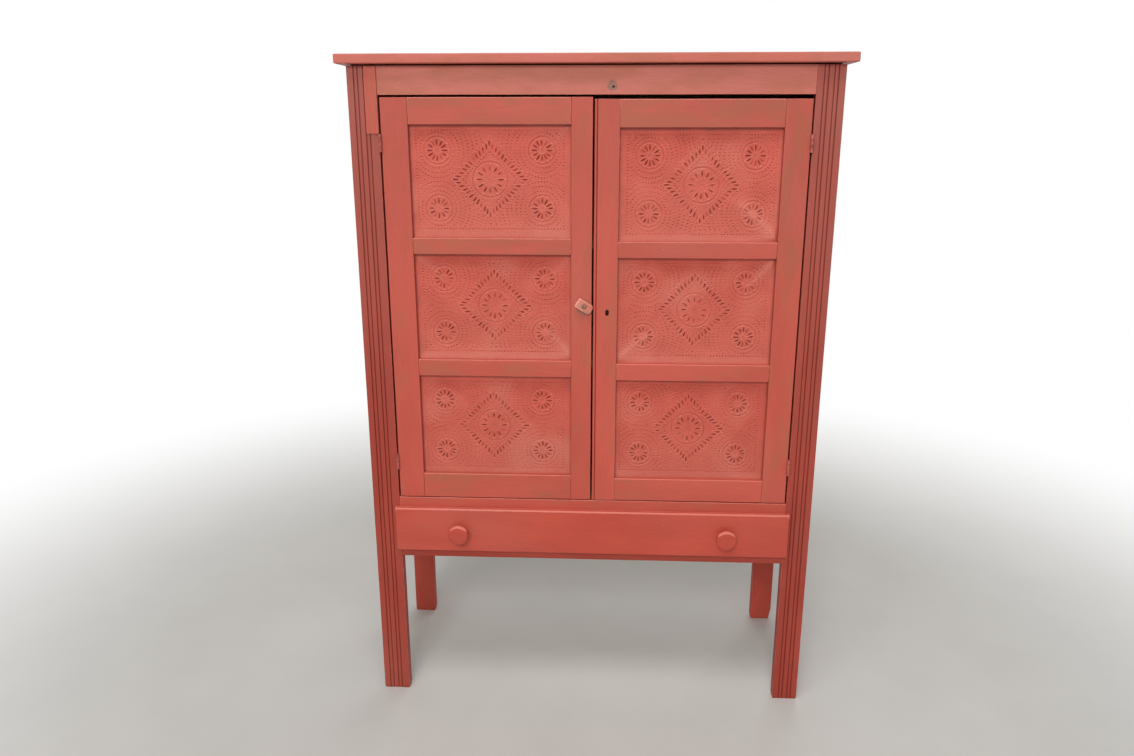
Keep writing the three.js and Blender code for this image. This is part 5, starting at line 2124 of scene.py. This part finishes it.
@dataclass
class Drawer:
    """The drawer: a lipped front with two turned knobs, and a plain box behind it."""

    lip: float = 12 * MM
    chamfer: float = 3 * MM
    clear: float = 3 * MM  # between its back and the opening
    spigot: float = 7 * MM
    neck: float = 9 * MM
    # Of a knob's cup: shares of its radius and of its reach, from the neck to the middle of its front
    cup: tuple[Pair, ...] = (
        (0.66, 0.47), (0.82, 0.56), (0.94, 0.645), (0.99, 0.72), (1, 0.77), (1, 0.83), (0.985, 0.885),
        (0.95, 0.93), (0.9, 0.96), (0.84, 0.974), (0.6, 0.984), (0.3, 0.996), (0.04, 1),
    )

    def build(self) -> None:
        """Builds the drawer."""
        self.front()
        for node in ("drawer_side_left", "drawer_side_right", "drawer_back", "drawer_bottom"):
            name = node.replace("drawer_", "drawer_box_")
            grain = {"side": Grain.ALONG_SIDE, "back": Grain.LEVEL, "bottom": Grain.FLAT}[node.split("_")[1]]
            Board(
                name, Box.of(node), grain, (node,), "drawer", Finish.BARE_PINE,
                stock=partial(eased_copy, name, node, 0.6 * MM),
            ).build()
        for side in Side:
            self.knob(side)

    def front(self) -> None:
        """The front board, its lip chamfered all round and its back let into the opening."""
        full = Box.of("drawer_front")
        box = full.span(1, high=full.low.y + self.lip)
        posts = Box.of("post_front_left").high.x, Box.of("post_front_right").low.x
        rails = Box.of("rail_drawer").high.z, Box.of("rail_sill").low.z
        clear = self.clear
        plug = (posts[0] + clear, posts[1] - clear, rails[0] + clear, rails[1] - clear)

        def lipped(piece: Piece) -> None:
            """Chamfers the lip and draws out the back."""
            with editing(piece):
                pick(piece, Pick.EDGES, lambda e: all(v.co.y < box.low.y + 0.1 * MM for v in e.verts))
                bpy.ops.mesh.bevel(offset=self.chamfer, segments=3)
            cut_rings(piece, 0, plug[:2])
            cut_rings(piece, 2, plug[2:])

            def is_plug(face: Any) -> bool:
                """Whether this part of the back enters the opening."""
                at = face.calc_center_median()
                return face.normal.y > 0.5 and plug[0] < at.x < plug[1] and plug[2] < at.z < plug[3]

            pull(piece, is_plug, Vector((0, full.high.y - box.high.y, 0)))

        # Its top chamfer takes a wide painted highlight, in the worn pink
        Board(
            "drawer_lipped_front", box, Grain.LEVEL, ("drawer_front",), "drawer", wear=0.9, grime=0.12,
            top_rub=3.4, shape=lipped, arris=0.8 * MM,
        ).build()

    def knob(self, side: Side) -> None:
        """A turned knob with a nearly flat front and a rounded rim, its spigot through the drawer front.

        Args:
            side: Which knob.
        """
        node = f"drawer_knob_{side}"
        box = Box.of(node)
        face = Box.of("drawer_front").low.y
        radius, reach = box.size.x / 2, face - box.low.y
        profile = [
            (self.spigot, face - box.high.y), (self.spigot, FIT), (self.neck, FIT), (self.neck, 0.16 * reach),
            (self.neck * 1.06, 0.25 * reach), (self.neck * 1.3, 0.36 * reach),
            *((radius * out, reach * along) for out, along in self.cup),
        ]
        knob = turned(f"turned_knob_{side}", profile, Vector((box.middle.x, face, box.middle.z)), 64)

        def rim(places: Array) -> Array:
            """The painted highlight along the upper rim, where the light from above catches it."""
            out = np.hypot(places[:, 0] - box.middle.x, places[:, 2] - box.middle.z) / radius
            up = (places[:, 2] - box.middle.z) / radius
            return 24 * smooth(out, 0.82, 0.9) * smooth(up, 0.35, 0.95)

        Board(f"turned_knob_{side}", box, Grain.LEVEL, (), wear=0.0, grime=0.15, handled=rim).mark(knob)
        hang(knob, "drawer", Finish.PAINTED_WOOD, (node,))


# Studio


@dataclass
class Studio:
    """Pale floor, soft light and the photograph's point of view."""

    eye: Point = (0.037, -2.0323, 1.323)
    yaw: float = math.radians(-2.75)
    pitch: float = math.radians(-15.76)
    lens: float = 28.0
    sensor: float = 36.0
    floor_size: float = 16.0
    floor_colour: str = "#C4C2BD"
    fill: float = 0.33

    def build(self) -> None:
        """Sets up the camera, the floor, the lamps and the world."""
        bpy.context.scene.view_settings.view_transform = "Standard"
        self.camera()
        self.floor()
        self.lamp("key_softbox", (-0.6, -4.6, 3.3), (0, 0, 0.8), (1.6, 1.0), 110)
        self.lamp("overhead_softbox", (-0.4, -1.9, 5.2), (0, 0, 0.6), (2.4, 1.6), 98)
        self.lamp("front_softbox", (-0.2, -4.6, 0.6), (0, 0, 0.4), (3.2, 1.8), 30)
        self.lamp("back_softbox", (0.9, 3.6, 2.6), (0, 0, 0.8), (3.0, 2.4), 50)
        self.world()

    def camera(self) -> None:
        """The camera, where the photographer stood."""
        turn = (math.pi / 2 + self.pitch, 0, -self.yaw)
        bpy.ops.object.camera_add(location=self.eye, rotation=turn)
        camera = bpy.context.active_object
        camera.name = "photograph_view"
        camera.data.lens = self.lens
        camera.data.sensor_width = self.sensor
        camera.data.sensor_fit = "HORIZONTAL"
        camera.data.clip_start = 0.01
        bpy.context.scene.camera = camera

    def lamp(self, name: str, place: Point, aim: Point, size: Pair, power: float) -> None:
        """A rectangular softbox.

        Args:
            name: Its name.
            place: Where it hangs.
            aim: The point that it faces.
            size: Its width and height.
            power: Its power in watts.
        """
        turn = (Vector(aim) - Vector(place)).to_track_quat("-Z", "Y").to_euler()
        bpy.ops.object.light_add(type="AREA", location=place, rotation=turn)
        lamp = bpy.context.active_object
        lamp.name = name
        lamp.data.shape = "RECTANGLE"
        lamp.data.size, lamp.data.size_y = size
        lamp.data.energy = power

    def floor(self) -> None:
        """A pale concrete floor that fades to white away from the object."""
        bpy.ops.mesh.primitive_plane_add(size=self.floor_size)
        floor = settle(bpy.context.active_object, "pale_floor")
        material, add = new_material("pale_trowelled_floor")
        place = add("TexCoord").outputs["Object"]
        cloud = add("TexNoise", {"Vector": place, "Scale": 3.0, "Detail": 5.0, "Roughness": 0.6})
        tone = add("MapRange", {"Value": cloud, "To Min": 0.9, "To Max": 1.08})
        colour = add("VectorMath", {0: shade(self.floor_colour)[:3], "Scale": tone}, operation="SCALE")
        plain = add("BsdfPrincipled", {"Base Color": colour, "Roughness": 0.7})
        white = add("Emission", {"Color": WHITE, "Strength": 1.0})
        away = add("VectorMath", {0: place}, operation="LENGTH").outputs["Value"]
        far = add("MapRange", {"Value": away, "From Min": 1.0, "From Max": 2.6}, **EASED)
        share = add("Math", {0: far, 1: self.seen(add)}, operation="MULTIPLY")
        add("OutputMaterial", {"Surface": add("MixShader", {0: share, 1: plain, 2: white})})
        floor.data.materials.append(material)

    def seen(self, add: Add) -> Node:
        """Whether a ray shows the surface itself: straight, reflected or through glass.

        Args:
            add: add_node for the tree.

        Returns:
            The node whose output is 1 for such a ray.
        """
        path = add("LightPath").outputs
        direct = add("Math", {0: path["Is Camera Ray"], 1: path["Is Glossy Ray"]}, operation="ADD")
        return add("Math", {0: direct, 1: path["Is Transmission Ray"]}, operation="ADD", use_clamp=True)

    def world(self) -> None:
        """A white surround that gives a soft, low fill."""
        world = bpy.data.worlds.new("white_studio")
        bpy.context.scene.world = world
        world.use_nodes = True
        world.node_tree.nodes.clear()
        add = partial(add_node, world.node_tree)
        low, full = (add("Background", {"Color": WHITE, "Strength": power}) for power in (self.fill, 1.0))
        add("OutputWorld", {"Surface": add("MixShader", {0: self.seen(add), 1: low, 2: full})})


def main() -> None:
    """Builds the pie safe piece by piece."""
    logging.basicConfig(level=logging.INFO, format="%(name)s: %(message)s")
    Studio().build()
    Case().build()
    opening = Box.of("door_left_stile_outer").high.x, Box.of("door_left_stile_meeting").low.x
    tin = Box.of("door_left_tin_top")
    sights = Box.of("door_left_rail_upper").high.z, Box.of("door_left_rail_top").low.z
    lap = ((opening[0] - tin.low.x) / MM, (sights[0] - tin.low.z) / MM)
    pattern = TinPattern((opening[1] - opening[0]) / MM, (sights[1] - sights[0]) / MM)
    sheet = PunchedSheet("punched_sheet", pattern, lap)
    for side in Side:
        Door(side).build(sheet)
        for level in ("upper", "lower"):
            ButtHinge(side, level).build()
    drop(sheet.piece)
    coarse = PunchedSheet("punched_side_sheet", pattern, lap, fine_dots=False)
    for side in Side:
        SideTins(side).build(coarse)
    drop(coarse.piece)
    TurnButton().build()
    Lock().build()
    Drawer().build()


if __name__ == "__main__":
    main()
